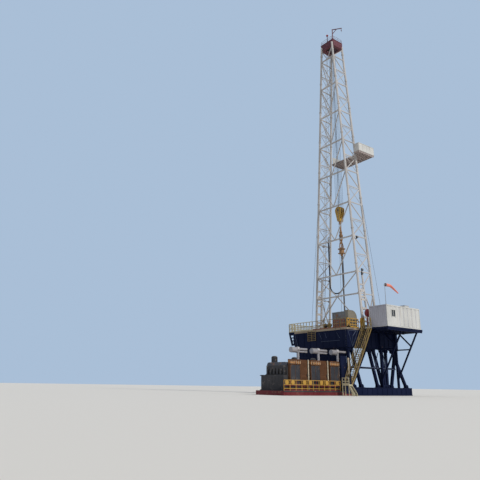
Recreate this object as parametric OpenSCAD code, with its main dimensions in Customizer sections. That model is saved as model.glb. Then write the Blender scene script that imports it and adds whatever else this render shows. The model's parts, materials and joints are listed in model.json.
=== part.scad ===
// Land drilling rig with a lattice mast, modelled at one tenth of full size.
// Origin: on the ground in the middle of the rig's footprint. +X is the doghouse side, -Y the
// engine side. The modules below measure from the well centre, and place() shifts them.

/* [Drill floor] */
// Height of the drill floor above the ground
floor_h = 760; // [680:5:840]
// Half of the drill floor's width
floor_hw = 450; // [440:5:470]
// Distance from the well to the rear edge of the drill floor
floor_rear = 480; // [470:5:520]
// Distance from the well to the front edge of the drill floor
floor_front = 450; // [430:5:480]
// Width of the wing at the left of the drill floor
wing_w = 108; // [100:2:150]
// Thickness of the floor plating
floor_t = 25; // [15:1:35]
// Depth of the plated girders under the floor
girder_d = 205; // [150:5:240]
// Width of the plated girders
girder_w = 60; // [44:2:80]
// Radius of the rotary table's flange
rotary_r = 110; // [95:1:120]
// Radius of the rotary table's bore
rotary_bore = 35; // [30:1:45]

/* [Base] */
// Height of the base beams
base_h = 90; // [60:2:110]
// Width of the base beams
base_w = 110; // [90:2:120]
// How far the base beams reach behind the well
base_rear = 600; // [596:2:640]
// How far the base beams reach in front of the well
base_front = 630; // [610:5:680]
// Thickness of the sloping legs of the side frames
leg_w = 30; // [24:1:36]
// Height of the plated box behind the side frames
rear_box_h = 340; // [250:5:340]
// Depth of the plated box behind the side frames
rear_box_d = 100; // [60:5:105]
// How far the plated box reaches to the left of the well
rear_box_left = 260; // [230:5:300]
// Depth of the curtain plate under the rear girder
curtain_d = 130; // [60:5:140]

/* [Mast] */
// Height of the mast from its feet to the crown
mast_h = 4245; // [4180:5:4260]
// Distance from the floor's edge to the leg centres at the mast's foot
mast_inset = 50; // [46:1:60]
// Width of the mast between leg centres at the crown
mast_top_w = 220; // [215:1:232]
// Depth of the mast between leg centres at the foot
mast_base_d = 260; // [250:2:270]
// Depth of the mast between leg centres at the crown
mast_top_d = 220; // [214:1:224]
// Radius of the mast's leg tubes
mast_leg_r = 15.5; // [12:0.5:16]
// Radius of the heavy cross tubes on the rear face
girt_r = 11; // [8:0.5:12]
// Radius of the bracing tubes
brace_r = 7; // [5:0.5:8]
// Height of one full bay of the mast
bay = 478; // [470:1:482]
// Height of the lowest rear cross tube above the floor
first_girt = 447; // [430:1:460]
// Height of the feet under the mast's legs
foot_h = 30; // [20:1:40]

/* [Crown] */
// Height of the crown frame
crown_h = 110; // [95:1:120]
// Half width of the crown frame
crown_hw = 122; // [118:1:130]
// Half depth of the crown frame
crown_hd = 106; // [102:1:116]
// Wall of the crown frame
crown_wall = 12; // [8:1:16]
// How far the mast's legs reach up beside the crown frame
leg_over = 55; // [40:1:58]
// Radius of the crown sheaves
sheave_r = 30; // [26:1:34]
// Radius of the wire rope
rope_r = 1.6; // [1.2:0.1:2]
// Height of the crown davit's post
davit_h = 180; // [150:5:220]
// Length of the crown davit's arm
davit_len = 145; // [120:5:200]

/* [Racking board] */
// Height of the racking board above the drill floor
board_up = 2460; // [2440:5:2480]
// Thickness of the racking board
board_t = 10; // [8:1:16]
// Reach of the racking board in front of the well
board_y = 375; // [340:5:400]
// Left reach of the racking board
board_left = 225; // [215:5:235]
// Right reach of the racking board
board_right = 360; // [330:5:380]
// Height of the wind wall round the board
wind_h = 118; // [90:2:140]

/* [Travelling gear] */
// Height of the travelling block's top above the drill floor
block_up = 1710; // [1700:5:1760]
// Height of the travelling block
block_h = 220; // [200:5:240]
// Half width of the travelling block
block_hw = 55; // [46:1:60]
// Thickness of the travelling block
block_t = 75; // [70:1:90]
// Length of the hook with its shank
hook_len = 265; // [250:5:280]
// Height of the swivel with its bail
swivel_h = 215; // [205:5:225]
// Radius of the swivel body
swivel_r = 34; // [28:1:38]
// Width across the flats of the kelly
kelly_w = 13.4; // [11:0.1:15]
// Length of the kelly
kelly_len = 1220; // [1180:5:1240]
// Running gap between pieces that turn or slide
gap = 0.3; // [0.2:0.05:0.5]
// Radial clearance of a post in its bore
post_gap = 0.1; // [0.06:0.01:0.1]

/* [Hose] */
// Radius of the rotary hose
hose_r = 6.5; // [5:0.5:8]
// Radius of the standpipe
pipe_r = 6.5; // [5:0.5:8]

/* [Doghouse] */
// Length of the doghouse
dog_len = 620; // [600:5:625]
// Width of the doghouse
dog_w = 250; // [230:5:255]
// Height of the doghouse
dog_h = 250; // [230:5:270]
// Wall of the doghouse
dog_wall = 6; // [4:0.5:8]
// Width of the walkway between the drill floor and the doghouse
walk_w = 130; // [120:1:140]
// Thickness of the doghouse deck
deck_t = 20; // [15:1:30]
// Height of the windsock's pole
pole_h = 220; // [180:5:260]

/* [Stairs and rails] */
// Clear width of the stairs
stair_w = 88; // [80:1:96]
// Height at which the stairs turn less steep
knee_h = 230; // [215:5:245]
// Height of the stair landing
landing_h = 118; // [110:1:126]
// Length of the stair landing
landing_len = 50; // [46:1:60]
// Height of the rail round the stair landing
low_rail_h = 70; // [60:1:80]
// Height of the guard rails
rail_h = 110; // [95:1:120]
// Thickness of the rail pipes
rail_t = 5; // [4:0.5:6]

/* [Hoist] */
// Height of the drawworks housing
draw_h = 195; // [180:5:210]
// Width of the drawworks housing
draw_w = 215; // [205:5:225]
// Depth of the drawworks housing
draw_d = 160; // [152:1:165]
// Width of the chain guard at the drawworks' end
guard_w = 40; // [25:1:48]

/* [Engines] */
// Height of the engine skid
skid_h = 45; // [35:1:55]
// Spacing of the engines
engine_pitch = 295; // [290:1:300]
// Spacing of the silencers
silencer_pitch = 305; // [300:1:308]
// Height of the engine bodies
engine_h = 255; // [230:5:270]
// Height of the silencers' centre line above the ground
silencer_z = 472; // [466:1:480]

/* [Hidden] */
$fn = 48;

// levels
mast_base_w = 2*(floor_hw - mast_inset);
girder_z = floor_h - floor_t - girder_d;
frame_x = floor_hw - girder_w/2;
foot_top = floor_h + foot_h;
crown_z = foot_top + mast_h;
girt_a = floor_h + first_girt;
girt_b = girt_a + 283;
girts = concat([girt_a], [for (i = [0:7]) girt_b + i*bay]);
board_z = floor_h + board_up;
notch_x = hw(board_z) + 19.2;
block_top = floor_h + block_up;
block_bot = block_top - block_h;
hook_bot = block_bot - hook_len;
swivel_bot = hook_bot - swivel_h;
dog_x0 = floor_hw + walk_w;
dog_x1 = dog_x0 + dog_w;
dog_y0 = -215;
dog_y1 = dog_y0 + dog_len;
deck_y0 = dog_y0 - 10;
deck_y1 = dog_y1 + 25;
deck_x1 = dog_x1 + 10;
prop_slope = 1.7;
prop_r = 11;
dog_top = floor_h + dog_h;
stair_x0 = floor_hw + 85;
stair_y0 = deck_y0 - 37;
stair_slope = 1.7;
stair_y1 = stair_y0 - (floor_h - knee_h)/stair_slope;
low_slope = 1.5;
landing_y1 = stair_y1 - (knee_h - landing_h)/low_slope;
landing_y = landing_y1 - landing_len;
landing_x1 = stair_x0 + stair_w + 12;
step_n = 3;
step_w = 22;
draw_x1 = floor_hw - guard_w - 25;
draw_x0 = draw_x1 - draw_w;
draw_y0 = rail_t + 55 - floor_rear;
skid_x0 = floor_hw - 420;
skid_x1 = floor_hw + 30;
skid_y1 = -base_rear;
skid_y0 = skid_y1 - 3*engine_pitch - 15;
front_x = skid_x1 - 25;
guard_y1 = skid_y1 + 73;
grille_w = 145;
guard_head = 316;
wing_x = floor_hw + wing_w;
wing_y1 = 100;
pole_x = dog_x1 - 8;
pole_y = dog_y0 + 8;
pole_z = dog_top + pole_h;
ring_r = 20;
sheave_z = crown_z + 57;
sheave_xs = [-60, -36, -12, 12, 36, 60];
rope_xs = [-36, -12, 12, 36];
rope_y = sheave_r + rope_r;
davit_x = crown_hw - 13;
davit_y = -crown_hd + 17;
leg_top = crown_z + leg_over;
reel_r = 45;
// hanging hose: gooseneck centre lines and the low end of the loop
hose_x0 = -35;
hose_y = 50;
hose_z0 = swivel_bot + 135;
hose_z1 = 2090;
hose_x1 = 25.5 - hw(hose_z1);
hose_low = 1390;
hose_reach = norm([hose_x0, hose_y]);
pipe_y = hose_y + 38;

function hw(z) = (mast_base_w + (mast_top_w - mast_base_w)*(z - foot_top)/mast_h)/2;
function hd(z) = (mast_base_d + (mast_top_d - mast_base_d)*(z - foot_top)/mast_h)/2;
function leg(sx, sy, z) = [sx*hw(z), sy*hd(z), z];
function mid(a, b, t) = a + (b - a)*t;
function arc(cx, cy, r, a0, a1, n) =
    [for (i = [0:n]) let (a = a0 + (a1 - a0)*i/n) [cx + r*cos(a), cy + r*sin(a)]];

// straight member between two points: square when n is 4, otherwise a tube with n sides
module bar(p, q, r, n = 4) {
    d = q - p;
    L = norm(d);
    translate(p) rotate([0, acos(d[2]/L), atan2(d[1], d[0])])
        rotate([0, 0, 180/n]) cylinder(h = L, r = r, $fn = n);
}
module box(a, b) { translate(a) cube(b - a); }
// from the well centre to the middle of the footprint
module place() {
    translate([(wing_x - pole_x - ring_r)/2, -(base_front + skid_y0)/2, 0]) children();
}
// profile drawn in Y and Z, thick along X
module yz(x, t) { translate([x, 0, 0]) rotate([90, 0, 90]) linear_extrude(t) children(); }
// profile drawn in X and Z, thick along +Y from y
module xz(y, t) { translate([0, y + t, 0]) rotate([90, 0, 0]) linear_extrude(t) children(); }

// guard rail along X or along Y on a surface at height z
module rail_x(x0, x1, y, z, h = rail_h) {
    n = max(1, round((x1 - x0)/95));
    for (i = [0:n]) let (x = x0 + (x1 - x0 - rail_t)*i/n)
        box([x, y, z], [x + rail_t, y + rail_t, z + h]);
    for (f = [0.5, 1]) box([x0, y, z + h*f - rail_t], [x1, y + rail_t, z + h*f]);
    box([x0, y, z], [x1, y + rail_t, z + 14]);
}
module rail_y(y0, y1, x, z, h = rail_h) {
    n = max(1, round((y1 - y0)/95));
    for (i = [0:n]) let (y = y0 + (y1 - y0 - rail_t)*i/n)
        box([x, y, z], [x + rail_t, y + rail_t, z + h]);
    for (f = [0.5, 1]) box([x, y0, z + h*f - rail_t], [x + rail_t, y1, z + h*f]);
    box([x, y0, z], [x + rail_t, y1, z + 14]);
}

// base and substructure
module base_beams() {
    color("midnightblue") for (c = [-frame_x, frame_x])
        box([c - base_w/2, -base_rear, 0], [c + base_w/2, base_front, base_h]);
}
module front_spreader() {
    x = frame_x - base_w/2;
    color("midnightblue") box([-x, base_front - 70, 0], [x, base_front - 10, base_h - 10]);
}
module rear_box() {
    y = -base_rear + 5;
    color("midnightblue") {
        box([-rear_box_left, y, base_h], [floor_hw - 20, y + rear_box_d, base_h + rear_box_h]);
        box([-rear_box_left, y, 0], [40 - rear_box_left, y + rear_box_d, base_h + 1]);
    }
}
module side_frame(s) {
    x = s*frame_x;
    h = girder_z - base_h;
    color("midnightblue") {
        box([x - girder_w/2, -floor_rear, girder_z], [x + girder_w/2, floor_front, floor_h - floor_t]);
        yz(x - leg_w/2, leg_w)
            for (m = [[-448, -448], [-400, -250], [-140, -426], [-85, 45], [-5, 136],
                      [145, 180], [232, 224], [354, 590], [420, 300]])
                let (w = leg_w/2*sqrt(1 + pow((m[0] - m[1])/h, 2)))
                polygon([[m[0] - w, girder_z + 1], [m[0] + w, girder_z + 1],
                         [m[1] + w, base_h], [m[1] - w, base_h]]);
        box([x - leg_w/3, 40 - floor_rear, base_h + h/2 - leg_w/3],
            [x + leg_w/3, floor_front - 60, base_h + h/2 + leg_w/3]);
    }
}
module side_frames() {
    side_frame(-1);
    side_frame(1);
}
module cross_girders() {
    x = floor_hw - girder_w;
    color("midnightblue") {
        box([-x, -floor_rear, girder_z], [x, -floor_rear + 50, floor_h - floor_t]);
        box([-x, 10 - floor_rear, girder_z - curtain_d], [x, 30 - floor_rear, girder_z + 1]);
        box([-x, floor_front - 50, girder_z + girder_d/2], [x, floor_front, floor_h - floor_t]);
    }
}
module drill_floor() {
    color("tan") difference() {
        box([-floor_hw, -floor_rear, floor_h - floor_t], [floor_hw, floor_front, floor_h]);
        translate([0, 0, floor_h - floor_t - 1]) cylinder(h = floor_t + 2, r = rotary_r - 29);
    }
}
module rotary_table() {
    color("dimgray") difference() {
        union() {
            translate([0, 0, floor_h]) cylinder(h = 12, r = rotary_r);
            translate([0, 0, floor_h - floor_t - 15]) cylinder(h = floor_t + 16, r = rotary_r - 30);
        }
        translate([0, 0, floor_h - floor_t - 20]) cylinder(h = floor_t + 40, r = rotary_bore);
    }
}
module wing_bracket(y) {
    a = floor_hw;
    t = floor_h - 20;
    color("midnightblue") xz(y, 12) difference() {
        polygon([[-a, t + 6], [-wing_x, t + 6], [-wing_x + 3, t - 8], [-a - 60, t - 150], [-a, t - 150]]);
        polygon([[-a - 22, t - 20], [-wing_x + 26, t - 20], [-wing_x + 36, t - 44], [-a - 22, t - 44]]);
        polygon([[-a - 22, t - 58], [-wing_x + 44, t - 58], [-wing_x + 54, t - 82], [-a - 22, t - 82]]);
        polygon([[-a - 22, t - 96], [-wing_x + 60, t - 96], [-a - 42, t - 128], [-a - 22, t - 128]]);
    }
}
module left_wing() {
    color("midnightblue") box([-wing_x, -floor_rear, floor_h - 20], [-floor_hw, wing_y1, floor_h]);
    wing_bracket(-floor_rear);
    wing_bracket(-200);
    wing_bracket(wing_y1 - 12);
}
module floor_rails() {
    z = floor_h;
    color("goldenrod") {
        rail_x(-wing_x + 2, -floor_hw - 4, -floor_rear + 2, z);
        rail_y(-floor_rear + 12, wing_y1 - 12, -wing_x + 2, z);
        rail_x(-wing_x + 2, -floor_hw - 4, wing_y1 - 7, z);
        rail_x(-floor_hw + 2, floor_hw - 12, -floor_rear + 2, z);
        rail_y(-floor_rear + 2, stair_y0 - 6, floor_hw - 7, z);
        rail_y(wing_y1 + 4, floor_front - 12, -floor_hw + 2, z);
        rail_x(-floor_hw + 2, -260, floor_front - 7, z);
        rail_x(260, floor_hw - 2, floor_front - 7, z);
        yz(floor_hw + 4, 14) polygon(concat([[dog_y0 + 4, z], [dog_y0 + 66, z]],
            arc(dog_y0 + 35, z + 98, 31, 0, 180, 12)));
    }
}

// doghouse side
module doghouse_deck() {
    color("midnightblue") {
        box([floor_hw, deck_y0, floor_h - deck_t], [deck_x1, deck_y1, floor_h]);
        box([floor_hw, stair_y0, floor_h - deck_t],
            [stair_x0 + stair_w + 22, deck_y0 + 1, floor_h]);
    }
}
module deck_brackets() {
    zt = floor_h - deck_t;
    x0 = floor_hw;
    xo = deck_x1 - 50;
    xi = frame_x + base_w/2;
    k = prop_slope;
    zl = zt - (xo - xi)*k;
    color("midnightblue") for (y = [90, dog_y1 - 15]) intersection() {
        union() {
            box([x0, y - 10, base_h], [xi, y + 10, zt]);
            bar([xi - 10, y, zl - 10*k], [xo + 10, y, zt + 10*k], prop_r);
            bar([xi - 8, y, zt - 205], [xo - 205/k, y, zt - 205], prop_r - 1);
            bar([x0 + 60, y, zt + 5], [xo - 170/k, y, zt - 170], prop_r - 1);
        }
        box([x0, y - 20, base_h], [deck_x1, y + 20, zt]);
    }
}
win_y0 = dog_y0 + 85;
win_z0 = floor_h + 117;
win_w = 65;
win_h = 75;
door_y0 = dog_y0 + 365;
door_w = 90;
door_h = 200;
module doghouse_sides() {
    color("ivory") {
        difference() {
            box([dog_x1 - dog_wall, dog_y0, floor_h], [dog_x1, dog_y1, dog_top - dog_wall]);
            box([dog_x1 - 20, win_y0, win_z0], [dog_x1 + 5, win_y0 + win_w, win_z0 + win_h]);
        }
        difference() {
            box([dog_x0, dog_y0, floor_h], [dog_x0 + dog_wall, dog_y1, dog_top - dog_wall]);
            box([dog_x0 - 5, door_y0, floor_h + 6],
                [dog_x0 + 20, door_y0 + door_w, floor_h + 6 + door_h]);
        }
    }
}
module doghouse_ends() {
    color("lightgray") for (y = [dog_y0, dog_y1 - dog_wall])
        box([dog_x0 + dog_wall, y, floor_h], [dog_x1 - dog_wall, y + dog_wall, dog_top - dog_wall]);
}
module doghouse_roof() {
    color("ivory") {
        box([dog_x0, dog_y0, dog_top - dog_wall], [dog_x1, dog_y1, dog_top]);
        box([dog_x1 - 80, dog_y0 + 365, dog_top - 1], [dog_x1 - 15, dog_y0 + 445, dog_top + 24]);
    }
}
module doghouse_window() {
    color("slategray") box([dog_x1 - dog_wall + 1, win_y0, win_z0],
        [dog_x1 - 2, win_y0 + win_w, win_z0 + win_h]);
}
module windsock_pole() {
    color("gray") translate([pole_x, pole_y, dog_top]) {
        cylinder(h = 4, r = 7);
        cylinder(h = pole_h, r = 3);
        cylinder(h = pole_h + 22, r = 2);
    }
}
module windsock_frame() {
    color("silver") difference() {
        translate([pole_x, pole_y, pole_z + gap]) union() {
            cylinder(h = 16, r = 5);
            translate([-3, 3, 2]) cube([6, 10, 12]);
            translate([0, 12, 8]) rotate([-90, 0, 0]) difference() {
                cylinder(h = 6, r = ring_r);
                translate([0, 0, -1]) cylinder(h = 8, r = ring_r - 3);
            }
            translate([1.5 - ring_r - 0.5, 12, 6]) cube([2*ring_r - 2, 4, 4]);
        }
        translate([pole_x, pole_y, pole_z - 5]) cylinder(h = 40, r = 2 + post_gap);
    }
}
module windsock_cloth() {
    // stations of the cloth: distance out, drop, radius and slope of the ring
    sock = [[18.3, 0, 19, 0], [60, 1, 20, 0], [98, -4, 19, 15], [140, -42, 15.5, 42],
            [190, -92, 12, 45], [238, -140, 8, 45]];
    color("tomato") translate([pole_x, pole_y, pole_z + gap + 8])
        for (i = [0:len(sock) - 2]) hull() for (j = [i, i + 1]) let (s = sock[j])
            translate([0, s[0], s[1]]) rotate([-90 - s[3], 0, 0])
                translate([0, 0, j == 0 ? 0 : -1]) cylinder(h = 2, r = s[2], $fn = 24);
}

// stairs
// strip between a line over the stairs and the same line lower by the strip's depth
module stair_strip(up, low_up, d) {
    top = [[stair_y0, floor_h + up], [stair_y1, knee_h + up], [landing_y1, landing_h + low_up]];
    polygon(concat(top, [for (i = [2:-1:0]) top[i] - [0, d]]));
}
module stair_side(x) {
    // stringer, rails and posts of both slopes, as one flat frame
    color("goldenrod") yz(x, 6) {
        stair_strip(0, 0, 24);
        stair_strip(rail_h, low_rail_h, 6);
        stair_strip(rail_h/2, low_rail_h/2, 6);
        for (i = [0:5]) let (y = mid(stair_y0 - rail_t, stair_y1, i/5), z = mid(floor_h, knee_h, i/5))
            translate([y, z - 12]) square([rail_t, rail_h + 10]);
        translate([landing_y1, landing_h - 12]) square([rail_t, low_rail_h + 10]);
    }
}
module stair_sides() {
    stair_side(stair_x0);
    stair_side(stair_x0 + 6 + stair_w);
}
module stair_treads() {
    x0 = stair_x0 + 6;
    n = 22;
    m = 5;
    rise = (floor_h - knee_h)/n;
    low_rise = (knee_h - landing_h)/m;
    color("goldenrod") {
        for (i = [1:n]) let (z = floor_h - rise*i, y = stair_y0 - rise*i/stair_slope)
            box([x0, y - 8, z - 3], [x0 + stair_w, y + 12, z]);
        for (i = [1:m - 1]) let (z = knee_h - low_rise*i, y = stair_y1 - low_rise*i/low_slope)
            box([x0, y - 6, z - 3], [x0 + stair_w, y + 10, z]);
        for (i = [1:step_n]) let (z = landing_h*(1 - i/(step_n + 1)), x = landing_x1 + step_w*(i - 1) + 4)
            box([x, landing_y + 6, z - 3], [x + step_w - 2, landing_y1 - 6, z]);
    }
}
module stair_landing() {
    x0 = stair_x0;
    x1 = landing_x1;
    foot = x1 + step_n*step_w + 6;
    color("goldenrod") {
        box([x0, landing_y, landing_h - 12], [x1, landing_y1, landing_h]);
        for (x = [x0, x1 - 8], y = [landing_y, landing_y1 - 8])
            box([x, y, 0], [x + 8, y + 8, landing_h]);
        rail_x(x0, x1, landing_y, landing_h - 1, low_rail_h);
        rail_y(landing_y, landing_y1, x0, landing_h - 1, low_rail_h);
        // two plates that carry the last steps down to the ground
        for (y = [landing_y, landing_y1 - 6]) xz(y, 6)
            polygon([[x1 - 1, landing_h - 24], [x1 - 1, landing_h - 1], [foot, 22], [foot, 0],
                     [foot - 20, 0]]);
    }
}

// mast
module mast_feet() {
    color("gainsboro") for (sx = [-1, 1], sy = [-1, 1])
        translate([sx*hw(foot_top), sy*hd(foot_top), floor_h]) translate([-30, -30, 0])
            cube([60, 60, foot_h]);
}
module trim(z0, z1) {
    intersection() {
        union() children();
        box([-700, -400, z0], [700, 400, z1]);
    }
}
module leg_tube(sx, sy) {
    bar(leg(sx, sy, foot_top - 20), leg(sx, sy, leg_top + 20), mast_leg_r, 8);
}
module mast_side(s) {
    half = bay/2;
    n = len(girts);
    color("whitesmoke") trim(foot_top, leg_top) {
        leg_tube(s, -1);
        leg_tube(s, 1);
        for (z = girts) bar(leg(s, -1, z), leg(s, 1, z), brace_r*1.2);
        for (i = [1:n - 2]) bar(leg(s, -1, girts[i] + half), leg(s, 1, girts[i] + half), brace_r);
        for (i = [1:n - 2]) {
            bar(leg(s, -1, girts[i]), leg(s, 1, girts[i] + half), brace_r);
            bar(leg(s, 1, girts[i] + half), leg(s, -1, girts[i + 1]), brace_r);
        }
        bar(leg(s, -1, girts[n - 1]), leg(s, 1, crown_z - 8), brace_r);
        bar(leg(s, -1, girts[0]), leg(s, 1, girts[1]), brace_r);
        // inner tube and battens of the plated foot section
        bar(mid(leg(s, -1, foot_top - 5), leg(s, 1, foot_top - 5), 0.36),
            mid(leg(s, -1, girts[1]), leg(s, 1, girts[1]), 0.36), mast_leg_r*0.8, 8);
        for (f = [0.1, 0.32, 0.54, 0.76]) let (z = foot_top + (girts[1] - foot_top)*f)
            bar(leg(s, -1, z), mid(leg(s, -1, z), leg(s, 1, z), 0.36), mast_leg_r*0.9);
        bar(mid(leg(s, -1, foot_top + 40), leg(s, 1, foot_top + 40), 0.36), leg(s, 1, girts[0]), brace_r);
        bar(leg(s, 1, foot_top + 40), mid(leg(s, -1, girts[0]), leg(s, 1, girts[0]), 0.36), brace_r);
    }
}
module mast_left() { mast_side(-1); }
module mast_right() { mast_side(1); }
module mast_rear() {
    n = len(girts);
    color("gainsboro") difference() {
        trim(foot_top, crown_z) {
            for (z = girts) bar(leg(-1, -1, z), leg(1, -1, z), girt_r);
            for (i = [0:n - 2], s = [-1, 1])
                bar(leg(s, -1, girts[i + 1]), leg(0, -1, girts[i]), brace_r);
            for (s = [-1, 1]) {
                bar(leg(0, -1, girts[0]), leg(s*0.86, -1, foot_top + 60), brace_r);
                bar(leg(s*0.86, -1, foot_top + 60), leg(s, -1, foot_top + 60), brace_r);
                bar(leg(s, -1, crown_z - 4), leg(0, -1, girts[n - 1]), brace_r);
            }
        }
        leg_tube(-1, -1);
        leg_tube(1, -1);
    }
}

// crown
module crown_frame() {
    w = crown_hw;
    d = crown_hd;
    t = crown_wall;
    nx = hw(leg_top) - mast_leg_r - 0.5;
    ny = hd(leg_top) - mast_leg_r - 0.5;
    color("maroon") {
        difference() {
            union() {
                difference() {
                    box([-w, -d, crown_z], [w, d, crown_z + crown_h]);
                    box([-w + t, -d + t, crown_z + t], [w - t, d - t, crown_z + crown_h + 1]);
                    box([-80, -70, crown_z - 1], [80, 70, crown_z + t + 1]);
                    // corners that the tops of the mast's legs stand in
                    for (sx = [-1, 1], sy = [-1, 1]) scale([sx, sy, 1])
                        box([nx, ny, crown_z - 1], [w + 1, d + 1, leg_top]);
                }
                translate([davit_x, davit_y, leg_top + 3]) cylinder(h = crown_h - leg_over + 7, r = 13);
            }
            // bore that the davit turns in
            translate([davit_x, davit_y, crown_z + crown_h - 40]) cylinder(h = 90, r = 7 + post_gap);
        }
        // beacon on its post
        translate([10, -d + 6, crown_z + crown_h - 1]) {
            cylinder(h = 115, r = 5);
            translate([0, 0, 118]) sphere(r = 15);
        }
    }
}
module crown_sheaves() {
    color("dimgray") {
        translate([-crown_hw + crown_wall, 0, sheave_z]) rotate([0, 90, 0])
            cylinder(h = 2*(crown_hw - crown_wall), r = 8);
        for (x = sheave_xs) translate([x - 5, 0, sheave_z]) rotate([0, 90, 0])
            cylinder(h = 10, r = sheave_r);
    }
}
module crown_davit() {
    z0 = crown_z + crown_h - 40 + gap;
    zt = crown_z + crown_h + davit_h;
    color("maroon") translate([davit_x, davit_y, 0]) {
        translate([0, 0, z0]) cylinder(h = zt - z0, r = 7);
        rotate([0, 0, 42]) {
            bar([0, 0, zt - 8], [davit_len, 0, zt + 2], 7, 8);
            bar([0, 0, zt - 85], [davit_len*0.45, 0, zt - 5], 5, 6);
            translate([davit_len - 9, 0, zt - 34]) cylinder(h = 34, r = 4);
        }
    }
}

// racking board
module board_plan() {
    polygon([[-board_left, 128], [notch_x, 128], [notch_x, 54], [board_right, 54],
             [board_right, board_y], [-board_left, board_y]]);
}
module racking_board() {
    z = board_z;
    color("rosybrown") difference() {
        translate([0, 0, z]) linear_extrude(board_t) board_plan();
        leg_tube(-1, 1);
        leg_tube(1, 1);
        for (x = [-200:26:-70], s = [0, 270]) translate([x + s, 170, z - 1]) cube([12, 160, board_t + 2]);
    }
}
module wind_wall() {
    z = board_z + board_t;
    t = 4;
    color("white") {
        box([board_right - t, 54, z], [board_right, board_y, z + wind_h]);
        box([-board_left, board_y - t, z], [board_right - 1, board_y, z + wind_h]);
        box([-board_left, 150, z], [-board_left + t, board_y - t, z + wind_h]);
        box([notch_x + 23, 54, z], [board_right - 1, 54 + t, z + wind_h]);
    }
}

// ropes
module drilling_lines() {
    color("dimgray") for (x = rope_xs, s = [-1, 1])
        translate([x, s*rope_y, block_top + gap])
            cylinder(h = sheave_z - block_top - gap, r = rope_r, $fn = 6);
}
module mast_lines() {
    fast = [60, -rope_y - 0.6, sheave_z];
    drum = [draw_x0 + 108, draw_y0 + 55, floor_h + draw_h];
    dead = [-60, rope_y + 0.6, sheave_z];
    anchor = [-320, -60, floor_h + 26];
    stay_z = girts[3];
    edge = wing_x - 60;
    left = leg(-1, -1, stay_z) + [-mast_leg_r - rope_r, 0, 0];
    right = leg(1, 1, stay_z) + [mast_leg_r + rope_r, 0, 0];
    color("dimgray") {
        trim(floor_h + draw_h, sheave_z) bar(drum - (fast - drum)*0.01, fast, rope_r, 6);
        trim(floor_h, sheave_z) {
            bar(anchor, dead, rope_r, 6);
            translate([anchor[0], anchor[1], floor_h]) cylinder(h = 30, r = 22);
        }
        trim(floor_h, crown_z) bar([-edge, -130, floor_h - 10], left, rope_r, 6);
        trim(floor_h, crown_z) bar([floor_hw + 50, 150, floor_h - 10], right, rope_r, 6);
    }
}

// travelling gear
module travelling_block() {
    zt = block_top;
    zb = block_bot;
    color("goldenrod") xz(-block_t/2, block_t)
        polygon(concat(arc(0, zt - block_hw, block_hw, -8, 60, 8),
            [[rope_xs[3] - 8, zt], [8 - rope_xs[3], zt]],
            arc(0, zt - block_hw, block_hw, 120, 188, 8), arc(0, zb + 24, 24, 205, 335, 8)));
}
module hook() {
    color("sienna") {
        translate([0, 0, hook_bot]) cylinder(h = 55, r = 19);
        translate([0, 0, hook_bot + 50]) cylinder(h = 30, r = 25);
        translate([0, 0, hook_bot + 75]) cylinder(h = 55, r = 17);
        translate([0, 0, hook_bot + 120]) cylinder(h = block_bot - hook_bot - 120, r = 11);
        translate([0, 0, block_bot - 30]) cylinder(h = 30, r = 18);
    }
}
module swivel() {
    z = swivel_bot;
    color("peru") {
        translate([0, 0, z]) cylinder(h = 35, r = 17);
        translate([0, 0, z + 30]) cylinder(h = 70, r = swivel_r);
        translate([0, 0, z + 95]) cylinder(h = 20, r = swivel_r*0.7);
        for (s = [-1, 1]) {
            bar([0, s*swivel_r, z + 60], [0, s*swivel_r, z + 140], 7, 8);
            bar([0, s*swivel_r, z + 138], [0, s*8, hook_bot - 8], 7, 8);
        }
        box([-8, -14, hook_bot - 14], [8, 14, hook_bot]);
        // gooseneck that the hose hangs from
        rotate([0, 0, atan2(hose_y, hose_x0)]) {
            translate([hose_reach/2 + 2.5, 0, hose_z0]) rotate([90, 0, 0]) rotate_extrude(angle = 180)
                translate([hose_reach/2 - 2.5, 0]) circle(r = pipe_r);
            translate([5, 0, z + 110]) cylinder(h = hose_z0 - z - 110, r = pipe_r);
        }
    }
}
module kelly() {
    w = kelly_w;
    color("gray") translate([-w/2, -w/2, swivel_bot - gap - kelly_len]) cube([w, w, kelly_len]);
}
module standpipe() {
    top = [hose_x1, pipe_y, hose_z1];
    foot = [-hw(foot_top) + 24, pipe_y, floor_h];
    color("silver") {
        trim(floor_h, hose_z1) bar(foot - (top - foot)*0.01, top + (top - foot)*0.01, pipe_r, 12);
        translate([hose_x1, (pipe_y + hose_y)/2, hose_z1]) rotate([90, 0, 90]) rotate_extrude(angle = 180)
            translate([(pipe_y - hose_y)/2, 0]) circle(r = pipe_r);
    }
}

// rotary hose, swept along a hanging loop
function hose_points() = let (c = (hose_x0 + hose_x1)/2, r = (hose_x0 - hose_x1)/2) concat(
    [for (i = [0:14]) [hose_x0, hose_z0 - gap + (hose_low - hose_z0 + gap)*i/14]],
    [for (i = [1:15]) let (a = -180*i/16) [c + r*cos(a), hose_low + r*sin(a)]],
    [for (i = [0:20]) [hose_x1, hose_low + (hose_z1 - gap - hose_low)*i/20]]);
module rotary_hose() {
    p = hose_points();
    n = len(p);
    m = 10;
    pts = [for (i = [0:n - 1]) let (a = p[max(i - 1, 0)], b = p[min(i + 1, n - 1)], d = (b - a)/norm(b - a))
        for (k = [0:m - 1]) let (w = 360*k/m)
            [p[i][0] + hose_r*cos(w)*d[1], hose_y + hose_r*sin(w), p[i][1] - hose_r*cos(w)*d[0]]];
    faces = concat([[for (k = [0:m - 1]) k]], [[for (k = [0:m - 1]) n*m - 1 - k]],
        [for (i = [0:n - 2], k = [0:m - 1])
            [i*m + k, (i + 1)*m + k, (i + 1)*m + (k + 1)%m, i*m + (k + 1)%m]]);
    color("black") polyhedron(points = pts, faces = faces, convexity = 6);
}

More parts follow.
